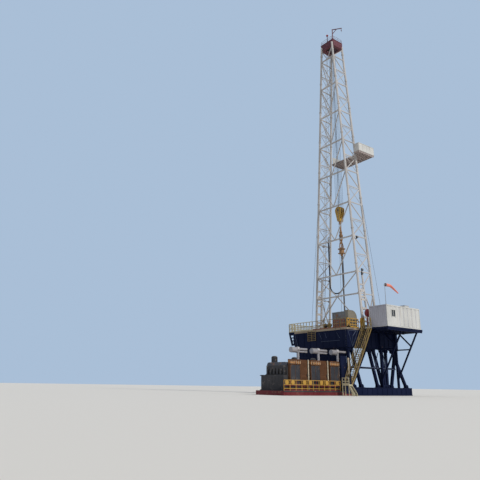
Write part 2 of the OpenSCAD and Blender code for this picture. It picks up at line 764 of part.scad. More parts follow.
// hoist machinery on the floor
module drawworks() {
    z = floor_h;
    y1 = draw_y0 + draw_d;
    color("gray") {
        yz(draw_x0, draw_w) polygon([[draw_y0, z], [y1, z], [y1, z + draw_h*0.55],
            [y1 - 45, z + draw_h], [draw_y0, z + draw_h]]);
    }
}
module chain_guard() {
    z = floor_h;
    r = 80;
    color("burlywood") yz(draw_x1, guard_w) polygon(concat([[draw_y0, z]],
        [[draw_y0 + draw_d - 5, z]], arc(draw_y0 + draw_d - 5 - r, z + draw_h - r + 12, r, 0, 90, 8),
        [[draw_y0, z + draw_h + 12]]));
}
module hose_reel() {
    y = dog_y0 + 80;
    x = floor_hw + 32;
    z = floor_h + 190;
    color("firebrick") {
        for (d = [0, 26]) translate([x, y + d, z]) rotate([-90, 0, 0]) cylinder(h = 4, r = reel_r);
        translate([x, y, z]) rotate([-90, 0, 0]) cylinder(h = 30, r = 26);
        translate([x, y - 8, z]) rotate([-90, 0, 0]) cylinder(h = 46, r = 6);
        for (d = [-8, 32]) box([x - 6, y + d, floor_h], [x + 6, y + d + 6, z + 6]);
    }
}

// engines behind the substructure
module engine_skid() {
    color("brown") {
        box([skid_x0, skid_y0, skid_h - 12], [skid_x1, skid_y1, skid_h]);
        for (x = [skid_x0, (skid_x0 + skid_x1)/2 - 20, skid_x1 - 40])
            box([x, skid_y0, 0], [x + 40, skid_y1, skid_h - 11]);
        for (y = [skid_y0, (skid_y0 + skid_y1)/2 - 20, skid_y1 - 40])
            box([skid_x0, y, 0], [skid_x1, y + 40, skid_h - 11]);
    }
    color("goldenrod") rail_y(skid_y0 + 5, skid_y1 - 60, skid_x1 - 8, skid_h - 1);
}
module engines() {
    color("darkslategray") for (k = [0:2]) let (y1 = skid_y1 - 12 - engine_pitch*k, y0 = y1 - 270) {
        box([skid_x0 + 30, y0 + 20, skid_h], [front_x - 30, y1 + 4, skid_h + engine_h*0.62]);
        box([skid_x0 + 60, y0 + 70, skid_h + engine_h*0.6], [front_x - 30, y1 - 70, skid_h + engine_h]);
    }
}
module engine_guards() {
    color("saddlebrown") for (k = [0:2])
        let (y1 = guard_y1 - engine_pitch*k, y0 = y1 - 270, ym = y0 + grille_w) {
        box([front_x - 28, y0, skid_h], [front_x, ym, skid_h + guard_head - 16]);
        box([front_x - 28, y0 - 4, skid_h + guard_head - 46], [front_x + 10, ym, skid_h + guard_head]);
        if (k > 0) {
            box([front_x - 28, ym - 2, skid_h], [front_x - 18, y1, skid_h + guard_head]);
            box([front_x - 28, y1 - 8, skid_h], [front_x, y1, skid_h + guard_head]);
        }
    }
}
module silencers() {
    x = front_x - 45;
    z = silencer_z;
    color("silver") for (k = [0:2]) let (y = skid_y1 - 17 - silencer_pitch*k) {
        translate([x, y, skid_h + engine_h*0.62]) cylinder(h = z - skid_h - engine_h*0.62, r = 13);
        translate([x, y, z]) sphere(r = 25);
        translate([x, y, z]) rotate([-90, 0, 0]) cylinder(h = 134, r = 12);
        translate([x, y - 105, z - 10]) rotate([-90, 0, 0]) cylinder(h = 75, r = 29);
        translate([x, y - 80, z]) rotate([-90, 0, 0]) cylinder(h = 80, r = 14);
        if (k > 0) translate([x, y - 50, z - 27]) rotate([-90, 0, 0]) cylinder(h = 184, r = 9);
    }
}

place() base_beams();
place() front_spreader();
place() rear_box();
place() side_frames();
place() cross_girders();
place() drill_floor();
place() rotary_table();
place() left_wing();
place() floor_rails();
place() doghouse_deck();
place() deck_brackets();
place() doghouse_sides();
place() doghouse_ends();
place() doghouse_roof();
place() doghouse_window();
place() windsock_pole();
place() windsock_frame();
place() windsock_cloth();
place() stair_treads();
place() stair_sides();
place() stair_landing();
place() mast_feet();
place() mast_left();
place() mast_right();
place() mast_rear();
place() crown_frame();
place() crown_sheaves();
place() crown_davit();
place() racking_board();
place() wind_wall();
place() drilling_lines();
place() mast_lines();
place() travelling_block();
place() hook();
place() swivel();
place() kelly();
place() standpipe();
place() rotary_hose();
place() drawworks();
place() chain_guard();
place() hose_reel();
place() engine_skid();
place() engines();
place() engine_guards();
place() silencers();
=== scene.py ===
import json
import math
import bpy
import bmesh
from mathutils import Vector, Matrix


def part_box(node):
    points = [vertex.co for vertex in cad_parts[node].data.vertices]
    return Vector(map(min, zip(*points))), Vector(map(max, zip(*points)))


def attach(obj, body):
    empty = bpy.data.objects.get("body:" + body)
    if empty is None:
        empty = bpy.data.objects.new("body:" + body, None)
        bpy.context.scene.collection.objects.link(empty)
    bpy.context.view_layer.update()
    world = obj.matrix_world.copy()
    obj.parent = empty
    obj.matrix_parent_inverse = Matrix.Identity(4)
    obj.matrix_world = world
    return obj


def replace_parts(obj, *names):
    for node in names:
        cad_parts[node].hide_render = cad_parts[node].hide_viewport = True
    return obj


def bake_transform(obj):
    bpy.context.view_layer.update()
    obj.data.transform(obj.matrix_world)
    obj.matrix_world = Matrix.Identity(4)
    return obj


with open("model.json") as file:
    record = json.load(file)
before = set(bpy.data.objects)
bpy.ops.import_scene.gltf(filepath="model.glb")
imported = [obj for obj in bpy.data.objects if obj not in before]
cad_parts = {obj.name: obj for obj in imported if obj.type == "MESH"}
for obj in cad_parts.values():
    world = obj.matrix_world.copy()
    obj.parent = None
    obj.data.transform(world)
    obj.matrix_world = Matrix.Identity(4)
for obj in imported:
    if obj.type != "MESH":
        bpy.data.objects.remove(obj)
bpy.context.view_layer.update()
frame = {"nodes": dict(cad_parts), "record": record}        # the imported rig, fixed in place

wellShift = Vector((-0.142, 0.435, 0.0))      # where the well centre lies on the floor
scene = bpy.context.scene

# camera
view = {"place": (4.615, -5.151, 0.09), "yaw": 53.42, "pitch": 18.47, "roll": 0.86, "lens": 38.63,
        "shiftY": -0.0552, "near": 0.05, "far": 200}


def addObject(name, data):
    obj = bpy.data.objects.new(name, data)
    scene.collection.objects.link(obj)
    return obj


def setCamera(v):
    yaw, pitch, roll = (math.radians(v[k]) for k in ("yaw", "pitch", "roll"))
    ahead = Vector((-math.sin(yaw) * math.cos(pitch), math.cos(yaw) * math.cos(pitch), math.sin(pitch)))
    right = Vector((math.cos(yaw), math.sin(yaw), 0))
    up = right.cross(ahead)
    side = right * math.cos(roll) + up * math.sin(roll)
    top = up * math.cos(roll) - right * math.sin(roll)
    cam = bpy.data.cameras.new("photoView")
    cam.lens, cam.sensor_width, cam.shift_y = v["lens"], 36.0, v["shiftY"]
    cam.clip_start, cam.clip_end = v["near"], v["far"]
    scene.camera = addObject("photoView", cam)
    turn = Matrix((side, top, -ahead)).transposed()
    scene.camera.matrix_world = Matrix.Translation(Vector(v["place"]) + wellShift) @ turn.to_4x4()


setCamera(view)
scene.view_settings.view_transform = "Standard"
print("stage 1: camera")

# node tools


def feed(tree, node, values):
    # a value is a number, a colour or the output of another node
    for key, value in values.items():
        if hasattr(value, "is_output"):
            tree.links.new(value, node.inputs[key])
        else:
            node.inputs[key].default_value = value
    return node


def addNode(tree, kind, values=(), **props):
    node = tree.nodes.new(kind)
    for key, value in props.items():
        setattr(node, key, value)
    return feed(tree, node, dict(values))


def startGroup(kind, name, ins, outs):
    # ins hold label, socket kind and first value; outs hold label and socket kind
    tree = bpy.data.node_groups.new(name, kind + "NodeTree")
    for label, form, value in ins:
        socket = tree.interface.new_socket(label, in_out="INPUT", socket_type="NodeSocket" + form)
        if value is not None:
            socket.default_value = value
    for label, form in outs:
        tree.interface.new_socket(label, in_out="OUTPUT", socket_type="NodeSocket" + form)
    return tree, tree.nodes.new("NodeGroupInput").outputs, tree.nodes.new("NodeGroupOutput")


def newSkin(name):
    mat = bpy.data.materials.new(name)
    mat.use_nodes = True
    return mat, mat.node_tree, mat.node_tree.nodes["Principled BSDF"]


def mathNode(tree, op, a, b=0.0, clamp=False):
    return addNode(tree, "ShaderNodeMath", {0: a, 1: b}, operation=op, use_clamp=clamp).outputs[0]


def plus(tree, a, b, clamp=False):
    return mathNode(tree, "ADD", a, b, clamp)


def times(tree, a, b, clamp=False):
    return mathNode(tree, "MULTIPLY", a, b, clamp)


def splitNode(tree, vector):
    return addNode(tree, "ShaderNodeSeparateXYZ", {0: vector}).outputs


def scaleColor(tree, color, factor):
    return addNode(tree, "ShaderNodeVectorMath", {0: color, "Scale": factor}, operation="SCALE").outputs[0]


def mixColor(tree, factor, a, b, blend="MIX"):
    return addNode(tree, "ShaderNodeMix", {0: factor, 6: a, 7: b}, data_type="RGBA",
                   blend_type=blend).outputs[2]


def noiseNode(tree, vector, scale, detail, rough):
    return addNode(tree, "ShaderNodeTexNoise", {"Vector": vector, "Scale": scale, "Detail": detail,
                                                "Roughness": rough}).outputs["Fac"]


def rampNode(tree, value, low, high, to0=0.0, to1=1.0):
    return addNode(tree, "ShaderNodeMapRange", {0: value, 1: low, 2: high, 3: to0, 4: to1},
                   interpolation_type="SMOOTHSTEP").outputs[0]


# light and floor
light = {"sky": (0.92, 0.95, 1.0), "skyStrength": 0.42, "backdrop": (0.40, 0.52, 0.68),
         "floor": (0.68, 0.67, 0.65), "floorRough": 0.9, "floorHalf": 60}
suns = {"keySun": {"power": 2.55, "angle": 9, "ray": (1.0, 0.12, 0.85), "tint": (1.0, 0.965, 0.90)},
        "fillSun": {"power": 0.12, "angle": 60, "ray": (0.2, -1.0, 0.5), "tint": (0.95, 0.97, 1.0)}}


def setSun(name, s):
    lamp = bpy.data.lights.new(name, "SUN")
    lamp.energy, lamp.angle, lamp.color = s["power"], math.radians(s["angle"]), s["tint"]
    addObject(name, lamp).rotation_euler = Vector(s["ray"]).to_track_quat("Z", "Y").to_euler()


def setSky(s):
    # soft light from all round, and a plain blue where the camera looks
    world = bpy.data.worlds.new("studioSky")
    scene.world = world
    world.use_nodes = True
    tree = world.node_tree
    glow = feed(tree, tree.nodes["Background"], {"Color": (*s["sky"], 1), "Strength": s["skyStrength"]})
    seen = addNode(tree, "ShaderNodeBackground", {"Color": (*s["backdrop"], 1), "Strength": 1.0})
    ray = addNode(tree, "ShaderNodeLightPath").outputs
    direct = mathNode(tree, "MAXIMUM", ray["Is Camera Ray"], ray["Is Glossy Ray"])
    direct = mathNode(tree, "MAXIMUM", direct, ray["Is Transmission Ray"])
    mix = addNode(tree, "ShaderNodeMixShader", {0: direct, 1: glow.outputs[0], 2: seen.outputs[0]})
    feed(tree, tree.nodes["World Output"], {0: mix.outputs[0]})


def setFloor(s):
    mesh = bpy.data.meshes.new("floor")
    half = s["floorHalf"]
    corners = [(-half, -half, 0), (half, -half, 0), (half, half, 0), (-half, half, 0)]
    mesh.from_pydata(corners, [], [(0, 1, 2, 3)])
    mat, tree, skin = newSkin("paleFloor")
    feed(tree, skin, {"Base Color": (*s["floor"], 1), "Roughness": s["floorRough"]})
    mesh.materials.append(mat)
    addObject("floor", mesh)


for name, s in suns.items():
    setSun(name, s)
setSky(light)
setFloor(light)
print("stage 2: light and floor")

# shader groups


def buildWeather():
    # chips, streaks and dust of outdoor paint
    tree, o, gout = startGroup("Shader", "weathering", [
        ("Vector", "Vector", (0, 0, 0)), ("Paint", "Color", (0.5, 0.5, 0.5, 1)),
        ("Bare", "Color", (0.2, 0.12, 0.08, 1)), ("Dust", "Color", (0.55, 0.48, 0.38, 1)),
        ("Size", "Float", 10.0), ("Chips", "Float", 0.3), ("Streaks", "Float", 0.3), ("Dusty", "Float", 0.3)],
        [("Color", "Color"), ("Rough", "Float"), ("Height", "Float")])
    broad = noiseNode(tree, o["Vector"], 3.0, 3.0, 0.55)
    fine = noiseNode(tree, o["Vector"], 90.0, 8.0, 0.7)
    patch = noiseNode(tree, o["Vector"], o["Size"], 7.0, 0.65)
    drawn = addNode(tree, "ShaderNodeMapping", {"Vector": o["Vector"], "Scale": (75, 75, 4)}).outputs[0]
    shade = times(tree, rampNode(tree, broad, 0.3, 0.7, 0.86, 1.1),
                  rampNode(tree, fine, 0.25, 0.75, 0.9, 1.08))
    clean = scaleColor(tree, o["Paint"], shade)
    stained = mixColor(tree, 1.0, clean, (0.52, 0.43, 0.36, 1), "MULTIPLY")
    runs = rampNode(tree, noiseNode(tree, drawn, 1.0, 4.0, 0.6), 0.52, 0.78)
    streak = times(tree, runs, o["Streaks"], True)
    color = mixColor(tree, streak, clean, stained)
    # bare metal where the patches are strong
    edge = mathNode(tree, "SUBTRACT", 0.80, times(tree, o["Chips"], 0.32))
    chip = addNode(tree, "ShaderNodeMapRange", {0: plus(tree, patch, times(tree, fine, 0.18)), 1: edge,
                                                2: plus(tree, edge, 0.05)}).outputs[0]
    color = mixColor(tree, chip, color, o["Bare"])
    # dust on what faces up, and a thin film everywhere
    up = splitNode(tree, addNode(tree, "ShaderNodeNewGeometry").outputs["Normal"])[2]
    lie = times(tree, rampNode(tree, up, 0.3, 0.95), rampNode(tree, patch, 0.3, 0.65, 0.35, 1.0))
    film = times(tree, rampNode(tree, broad, 0.35, 0.75), 0.28)
    dust = times(tree, plus(tree, lie, film), o["Dusty"], True)
    feed(tree, gout, {
        "Color": mixColor(tree, dust, color, o["Dust"]),
        "Rough": plus(tree, times(tree, dust, 0.6), times(tree, chip, 0.4), True),
        "Height": mathNode(tree, "SUBTRACT", times(tree, fine, 0.35), times(tree, chip, 0.5))})
    return tree


def addLozenge(tree, o, turn, shift):
    # one raised lozenge in each cell of a turned grid
    spin = addNode(tree, "ShaderNodeMapping", {"Vector": o["Vector"], "Location": shift,
                                               "Rotation": (0, 0, turn)}).outputs[0]
    size = addNode(tree, "ShaderNodeCombineXYZ", {0: o["Pitch"], 1: o["Pitch"], 2: 1.0}).outputs[0]
    cell = addNode(tree, "ShaderNodeVectorMath", {0: spin, 1: size}, operation="MODULO").outputs[0]
    half = times(tree, o["Pitch"], 0.5)
    parts = (mathNode(tree, "ABSOLUTE", part) for part in splitNode(tree, cell)[:2])
    across, along = (mathNode(tree, "ABSOLUTE", mathNode(tree, "SUBTRACT", part, half)) for part in parts)
    far = plus(tree, times(tree, across, 3.2), along)
    return mathNode(tree, "SUBTRACT", 1.0, mathNode(tree, "DIVIDE", far, half), True)


def buildTread():
    # chequer plate: lozenges one way and the other
    tree, o, gout = startGroup("Shader", "chequerPlate", [("Vector", "Vector", (0, 0, 0)),
                                                          ("Pitch", "Float", 0.006)], [("Height", "Float")])
    both = mathNode(tree, "MAXIMUM", addLozenge(tree, o, 0.785, (0, 0, 0)),
                    addLozenge(tree, o, -0.785, (0.003, 0.003, 0)))
    feed(tree, gout, {"Height": both})
    return tree


def buildWeave():
    # crossed threads of coated cloth, on the piece's own map
    tree, o, gout = startGroup("Shader", "plainWeave", [("Vector", "Vector", (0, 0, 0)),
                                                        ("Threads", "Float", 80.0)],
                               [("Height", "Float"), ("Shade", "Float")])
    size = times(tree, o["Threads"], 2 * math.pi)
    a, b = (mathNode(tree, "SINE", times(tree, part, size)) for part in splitNode(tree, o["Vector"])[:2])
    height = times(tree, plus(tree, times(tree, a, b), 1.0), 0.5)
    feed(tree, gout, {"Height": height, "Shade": rampNode(tree, height, 0.0, 1.0, 0.86, 1.0)})
    return tree


def buildTwist():
    # slanting strands of laid wire rope or a wrapped hose
    tree, o, gout = startGroup("Shader", "strands", [("Vector", "Vector", (0, 0, 0)),
                                                     ("Turns", "Float", 150.0)], [("Height", "Float")])
    x, y, z = splitNode(tree, o["Vector"])
    slant = plus(tree, times(tree, plus(tree, x, y), 260.0), times(tree, z, o["Turns"]))
    wave = plus(tree, mathNode(tree, "SINE", times(tree, slant, 2 * math.pi)), 1.0)
    feed(tree, gout, {"Height": times(tree, wave, 0.5)})
    return tree


groups = {"weather": buildWeather(), "tread": buildTread(), "weave": buildWeave(), "twist": buildTwist()}


def placeGroup(tree, which, values):
    return addNode(tree, "ShaderNodeGroup", values, node_tree=groups[which]).outputs


def placeWear(tree, color, bare, dust, size, chips, streaks, dusty):
    where = addNode(tree, "ShaderNodeTexCoord").outputs["Object"]
    values = {"Vector": where, "Paint": (*color, 1), "Bare": (*bare, 1), "Dust": (*dust, 1), "Size": size,
              "Chips": chips, "Streaks": streaks, "Dusty": dusty}
    return where, placeGroup(tree, "weather", values)


def addDents(tree, skin, strength, distance, height):
    dent = addNode(tree, "ShaderNodeBump", {"Strength": strength, "Distance": distance, "Height": height})
    feed(tree, skin, {"Normal": dent.outputs[0]})


def paint(name, color, bare=(0.20, 0.11, 0.07), size=14.0, chips=0.25, streaks=0.35, dusty=0.3, rough=0.5,
          metal=0.0, bump=0.25, gloss=0.35, treadPitch=0, turns=0):
    # weathered paint or metal, with chequer plate or strands where a pitch or turns are given
    mat, tree, skin = newSkin(name)
    where, wear = placeWear(tree, color, bare, (0.52, 0.45, 0.36), size, chips, streaks, dusty)
    feed(tree, skin, {"Base Color": wear["Color"], "Metallic": metal, "Specular IOR Level": gloss,
                      "Roughness": rampNode(tree, wear["Rough"], 0.0, 1.0, rough, min(1.0, rough + 0.35))})
    height = wear["Height"]
    if treadPitch:
        plate = placeGroup(tree, "tread", {"Vector": where, "Pitch": treadPitch})[0]
        height = plus(tree, height, times(tree, plate, 1.5))
    if turns:
        height = plus(tree, height, placeGroup(tree, "twist", {"Vector": where, "Turns": turns})[0])
    addDents(tree, skin, bump, 0.001, height)
    return mat


def clothMaterial(name, color):
    mat, tree, skin = newSkin(name)
    chart = addNode(tree, "ShaderNodeUVMap", uv_map="cloth").outputs[0]
    wear = placeWear(tree, color, (0.72, 0.42, 0.30), (0.60, 0.42, 0.32), 30.0, 0.1, 0.25, 0.35)[1]
    weave = placeGroup(tree, "weave", {"Vector": chart, "Threads": 70.0})
    feed(tree, skin, {"Base Color": scaleColor(tree, wear["Color"], weave["Shade"]), "Roughness": 0.85,
                      "Sheen Weight": 0.25})
    addDents(tree, skin, 0.3, 0.0006, weave["Height"])
    return mat


def glassMaterial(name):
    # dark pane with a thin film of dirt
    mat, tree, skin = newSkin(name)
    film = noiseNode(tree, addNode(tree, "ShaderNodeTexCoord").outputs["Object"], 40.0, 6.0, 0.65)
    dirt = mixColor(tree, rampNode(tree, film, 0.45, 0.8), (0.025, 0.032, 0.04, 1), (0.16, 0.16, 0.155, 1))
    rough = rampNode(tree, film, 0.4, 0.8, 0.06, 0.42)
    feed(tree, skin, {"Base Color": dirt, "Roughness": rough, "IOR": 1.5})
    return mat


coats = {
    "navySteel": dict(color=(0.0055, 0.010, 0.036), size=11, chips=0.1, dusty=0.02, rough=0.6, gloss=0.06),
    "slateSteel": dict(color=(0.05, 0.06, 0.085), size=12, chips=0.3, dusty=0.2, rough=0.5, gloss=0.2),
    "floorPlate": dict(color=(0.30, 0.235, 0.165), bare=(0.12, 0.10, 0.09), size=7, chips=0.5,
                       dusty=0.55, rough=0.6, metal=0.1, treadPitch=0.011),
    "tableSteel": dict(color=(0.085, 0.08, 0.075), bare=(0.25, 0.24, 0.23), size=20, chips=0.4,
                       streaks=0.2, dusty=0.2, rough=0.38, metal=0.75),
    "yellowRail": dict(color=(0.40, 0.225, 0.03), size=28, chips=0.3, dusty=0.2, rough=0.48),
    "paleRail": dict(color=(0.50, 0.455, 0.31), size=28, chips=0.25, dusty=0.2),
    "cabinWhite": dict(color=(0.545, 0.55, 0.54), bare=(0.34, 0.20, 0.12), size=9, chips=0.12,
                       streaks=0.5, dusty=0.12, rough=0.42),
    # painted shade: the cabin white made darker and bluer for the doghouse ends in shade; the roof fittings
    # and valley strips use it too
    "cabinGrey": dict(color=(0.43, 0.435, 0.50), bare=(0.30, 0.18, 0.12), size=9, chips=0.12,
                      streaks=0.5, dusty=0.1, rough=0.42),
    "poleSteel": dict(color=(0.30, 0.31, 0.33), size=30, chips=0.2, rough=0.4, metal=0.4),
    "sockHem": dict(color=(0.62, 0.16, 0.11), size=60, chips=0.05, streaks=0.1, rough=0.8),
    "mastPaint": dict(color=(0.47, 0.455, 0.45), bare=(0.30, 0.17, 0.10), size=18, chips=0.2,
                      streaks=0.45, dusty=0.12, rough=0.42),
    "crownRed": dict(color=(0.11, 0.022, 0.035), size=20, chips=0.25, dusty=0.1),
    "sheaveSteel": dict(color=(0.13, 0.12, 0.115), bare=(0.3, 0.28, 0.26), size=30, chips=0.4,
                        rough=0.35, metal=0.8, dusty=0.15),
    "boardPaint": dict(color=(0.33, 0.28, 0.27), size=16, chips=0.25, dusty=0.2),
    "wireRope": dict(color=(0.10, 0.10, 0.105), bare=(0.28, 0.26, 0.24), size=60, chips=0.3, rough=0.4,
                     metal=0.7, dusty=0.1, turns=110.0, bump=0.6),
    "blockYellow": dict(color=(0.42, 0.255, 0.045), size=30, chips=0.4, dusty=0.15, rough=0.42),
    "hookBrown": dict(color=(0.30, 0.165, 0.075), bare=(0.12, 0.09, 0.075), size=34, chips=0.45,
                      dusty=0.25, metal=0.2),
    "kellySteel": dict(color=(0.12, 0.10, 0.09), bare=(0.30, 0.27, 0.25), size=40, chips=0.4,
                       streaks=0.4, metal=0.7, rough=0.4),
    "pipeGrey": dict(color=(0.30, 0.30, 0.31), size=26, chips=0.25, dusty=0.1),
    "hoseRubber": dict(color=(0.009, 0.013, 0.028), bare=(0.05, 0.045, 0.04), size=40, chips=0.15,
                       streaks=0.1, dusty=0.06, rough=0.7, gloss=0.2, turns=110.0, bump=0.3),
    "hoistGrey": dict(color=(0.15, 0.16, 0.175), size=14, chips=0.35, dusty=0.2),
    "guardBeige": dict(color=(0.185, 0.17, 0.14), size=14, chips=0.3, dusty=0.2),
    "reelRed": dict(color=(0.26, 0.03, 0.034), size=26, chips=0.3, dusty=0.15),
    "skidRed": dict(color=(0.125, 0.012, 0.018), size=12, chips=0.35, dusty=0.15, gloss=0.2),
    "engineDark": dict(color=(0.036, 0.036, 0.042), bare=(0.15, 0.13, 0.12), size=20, chips=0.35,
                       dusty=0.15, metal=0.3, gloss=0.2),
    "guardBrown": dict(color=(0.085, 0.033, 0.011), bare=(0.14, 0.06, 0.035), size=14, chips=0.4,
                       streaks=0.5, dusty=0.1, gloss=0.2),
    "silencerMetal": dict(color=(0.34, 0.325, 0.345), bare=(0.34, 0.26, 0.20), size=22, chips=0.25,
                          streaks=0.35, dusty=0.1, rough=0.36, metal=0.35),
    "blackRubber": dict(color=(0.02, 0.02, 0.022), size=40, chips=0.15, dusty=0.3, rough=0.75),
    "headerOrange": dict(color=(0.33, 0.135, 0.03), bare=(0.16, 0.07, 0.04), size=18, chips=0.4,
                         streaks=0.4, dusty=0.15),
    "creamPaint": dict(color=(0.50, 0.44, 0.34), bare=(0.25, 0.14, 0.08), size=22, chips=0.3,
                       streaks=0.4, dusty=0.15),
    "stairYellow": dict(color=(0.21, 0.145, 0.045), size=28, chips=0.35, dusty=0.25, rough=0.5),
    # painted shade: treads near black, for the shade between the steps
    "treadSteel": dict(color=(0.06, 0.055, 0.05), size=24, chips=0.3, dusty=0.2, gloss=0.2),
    "whitePaint": dict(color=(0.76, 0.76, 0.75), size=30, chips=0.05, streaks=0.15, dusty=0.1, rough=0.4),
    "blueSteel": dict(color=(0.05, 0.07, 0.13), size=20, chips=0.2, dusty=0.1, gloss=0.2),
    # painted shade: brown for the rear rail's posts, standing for the shade on that side
    "rustBrown": dict(color=(0.20, 0.06, 0.02), bare=(0.12, 0.05, 0.03), size=24, chips=0.4, dusty=0.15),
    "beaconRed": dict(color=(0.42, 0.035, 0.03), size=50, chips=0.0, streaks=0.1, dusty=0.1, rough=0.2),
    "lampGlass": dict(color=(0.12, 0.12, 0.12), size=50, chips=0.0, streaks=0.1, dusty=0.2, rough=0.2),
}

finish = {name: paint(name, **coat) for name, coat in coats.items()}
finish["cabinGlass"] = glassMaterial("cabinGlass")
finish["sockCloth"] = clothMaterial("sockCloth", (0.80, 0.20, 0.14))


def camel(name):
    first, *rest = name.split("_")
    return first + "".join(word.capitalize() for word in rest)


# carried nodes that wear another finish than their slot's own; the treads' near-black finish is painted shade
dressed = {"stair_treads": "treadSteel", "stair_sides": "stairYellow", "stair_landing": "paleRail",
           "wind_wall": "cabinWhite"}

for row in frame["record"]["subparts"]:
    mat = finish[dressed.get(row["node"], camel(row["material_slot"]))]
    obj = frame["nodes"][row["node"]]
    for holder in obj.material_slots:
        holder.material = mat
    if not obj.material_slots:
        obj.data.materials.append(mat)
print("stage 3: finishes on the carried pieces")

# shapes: sizes in millimetres, measured from the well centre
mm = 0.001


def at(p):
    return Vector(p) * mm + wellShift


def span(node):
    # lowest x, y, z and then highest x, y, z
    return [(c - s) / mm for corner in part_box(node) for c, s in zip(corner, wellShift)]


def steps(a, b, count):
    return [a + (b - a) * i / count for i in range(count + 1)]


def spaced(first, last, pitch):
    # as many as fit before the last
    return [first + pitch * i for i in range(math.ceil((last - first) / pitch))]


def onAxis(axis, w, u, v):
    # w along the named axis, u and v in the other two
    return {"x": (w, u, v), "y": (u, w, v), "z": (u, v, w)}[axis]


def line(axis, a, b, u, v):
    return [onAxis(axis, w, u, v) for w in (a, b)]


def arcPoints(cx, cy, r, start, end, count):
    turns = [math.radians(a) for a in steps(start, end, count)]
    return [(cx + r * math.cos(a), cy + r * math.sin(a)) for a in turns]


def ringPoints(cx, cy, r, count, first=0.0):
    # evenly spaced round a circle; first is a share of the spacing
    return arcPoints(cx, cy, r, 360 * first / count, 360 * (first + count - 1) / count, count - 1)


def globeProfile(r, count):
    # half circle for a lathe, from the lowest point to the highest
    middle = [(x, y) for x, y in arcPoints(0, 0, r, -90, 90, count)][1:-1]
    return [(0, -r)] + middle + [(0, r)]


def newShape():
    return {"verts": [], "faces": []}


def newShapes(count):
    return [newShape() for i in range(count)]


def addMesh(shape, verts, faces):
    first = len(shape["verts"])
    shape["verts"].extend(at(v) for v in verts)
    shape["faces"].extend([first + i for i in face] for face in faces)


def addLayers(shape, low, high):
    # two outlines with as many points, joined round their sides
    n = len(low)
    sides = [(i, (i + 1) % n, n + (i + 1) % n, n + i) for i in range(n)]
    addMesh(shape, low + high, [tuple(range(n)), tuple(range(n, 2 * n))] + sides)


def addPrism(shape, outline, axis, low, high):
    # outline in the other two axes, carried along the named one
    addLayers(shape, *([onAxis(axis, w, u, v) for u, v in outline] for w in (low, high)))


def addBox(shape, a, b):
    addPrism(shape, [(a[0], a[1]), (b[0], a[1]), (b[0], b[1]), (a[0], b[1])], "z", a[2], b[2])


def addPlates(shape, axis, a, b, rows):
    # boxes from a to b along the axis; a row holds both corners in the other two
    low, high = sorted((a, b))
    for u0, v0, u1, v1 in rows:
        addBox(shape, onAxis(axis, low, u0, v0), onAxis(axis, high, u1, v1))


def addSlab(shape, corners, push):
    # flat plate: its corners, and the same corners pushed away
    addLayers(shape, [Vector(c) for c in corners], [Vector(c) + Vector(push) for c in corners])


def addPath(shape, points, radius, sides=8, loop=False):
    # round tube through points
    pts = [Vector(p) for p in points]
    n = len(pts)
    rings, side = [], None
    for i, p in enumerate(pts):
        before = pts[(i - 1) % n] if loop or i else p
        after = pts[(i + 1) % n] if loop or i < n - 1 else p
        ahead = (after - before).normalized()
        start = Vector((0, 0, 1)) if abs(ahead.z) < 0.9 else Vector((0, 1, 0))
        hint = side if side else start.cross(ahead)
        side = (hint - ahead * hint.dot(ahead)).normalized()
        top = ahead.cross(side)
        rings.append([p + side * u + top * v for u, v in ringPoints(0, 0, radius, sides, 0.5)])
    last = n if loop else n - 1
    faces = [(i * sides + k, i * sides + (k + 1) % sides, (i + 1) % n * sides + (k + 1) % sides,
              (i + 1) % n * sides + k) for i in range(last) for k in range(sides)]
    if not loop:
        faces += [tuple(range(sides)), tuple(range((n - 1) * sides, n * sides))]
    addMesh(shape, [v for ring in rings for v in ring], faces)


def addLathe(shape, profile, base, axis=(0, 0, 1), sides=24):
    # profile of (radius, distance along the axis), closed at both ends
    ahead = Vector(axis).normalized()
    side = (Vector((1, 0, 0)) if abs(ahead.x) < 0.9 else Vector((0, 1, 0))).cross(ahead).normalized()
    top = ahead.cross(side)
    verts, rings = [], []
    for r, d in profile:
        centre = Vector(base) + ahead * d
        ring = [centre + side * u + top * v for u, v in ringPoints(0, 0, r, sides)] if r > 1e-6 else [centre]
        rings.append([len(verts) + k for k in range(len(ring))])
        verts += ring
    faces = []
    for low, high in zip(rings, rings[1:]):
        for k in range(sides):
            j = (k + 1) % sides
            corners = [low[k % len(low)], low[j % len(low)], high[j % len(high)], high[k % len(high)]]
            kept = [v for i, v in enumerate(corners) if v != corners[i - 1]]
            if len(kept) > 2:
                faces.append(kept)
    faces += [tuple(ring) for ring in (rings[0], rings[-1]) if len(ring) > 2]
    addMesh(shape, verts, faces)


def addRing(shape, inner, outer, thick, round, base, axis=(0, 0, 1), sides=24):
    # collar with its outer edges broken by the round's width
    profile = [(inner, 0), (outer, round), (outer, thick - round), (inner, thick)]
    addLathe(shape, profile, base, axis, sides)


def placePiece(obj, body):
    if body:
        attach(obj, body)
    return obj


def finishShape(shape, name, skin, bevel=0.0, body="rig"):
    mesh = bpy.data.meshes.new(name)
    mesh.from_pydata(shape["verts"], [], shape["faces"])
    mesh.materials.append(finish[skin])
    edit = bmesh.new()
    edit.from_mesh(mesh)
    bmesh.ops.recalc_face_normals(edit, faces=edit.faces)
    edit.to_mesh(mesh)
    edit.free()
    mesh.shade_smooth()
    mesh.set_sharp_from_angle(angle=math.radians(32))
    obj = addObject(name, mesh)
    if bevel:
        edge = obj.modifiers.new("edges", "BEVEL")
        edge.width, edge.segments, edge.limit_method = bevel * mm, 2, "ANGLE"
        edge.angle_limit, edge.harden_normals = math.radians(40), False
    return placePiece(obj, body)


# repeats: Geometry Nodes along the edges of a few lines, made into plain meshes


def startTree(name, ins):
    ends = [("Geometry", "Geometry", None)] + ins + [("Skin", "Material", None)]
    tree, o, gout = startGroup("Geometry", name, ends, [("Geometry", "Geometry")])
    return tree, o, gout, addNode(tree, "GeometryNodeMeshToCurve", {0: o["Geometry"]}).outputs[0]


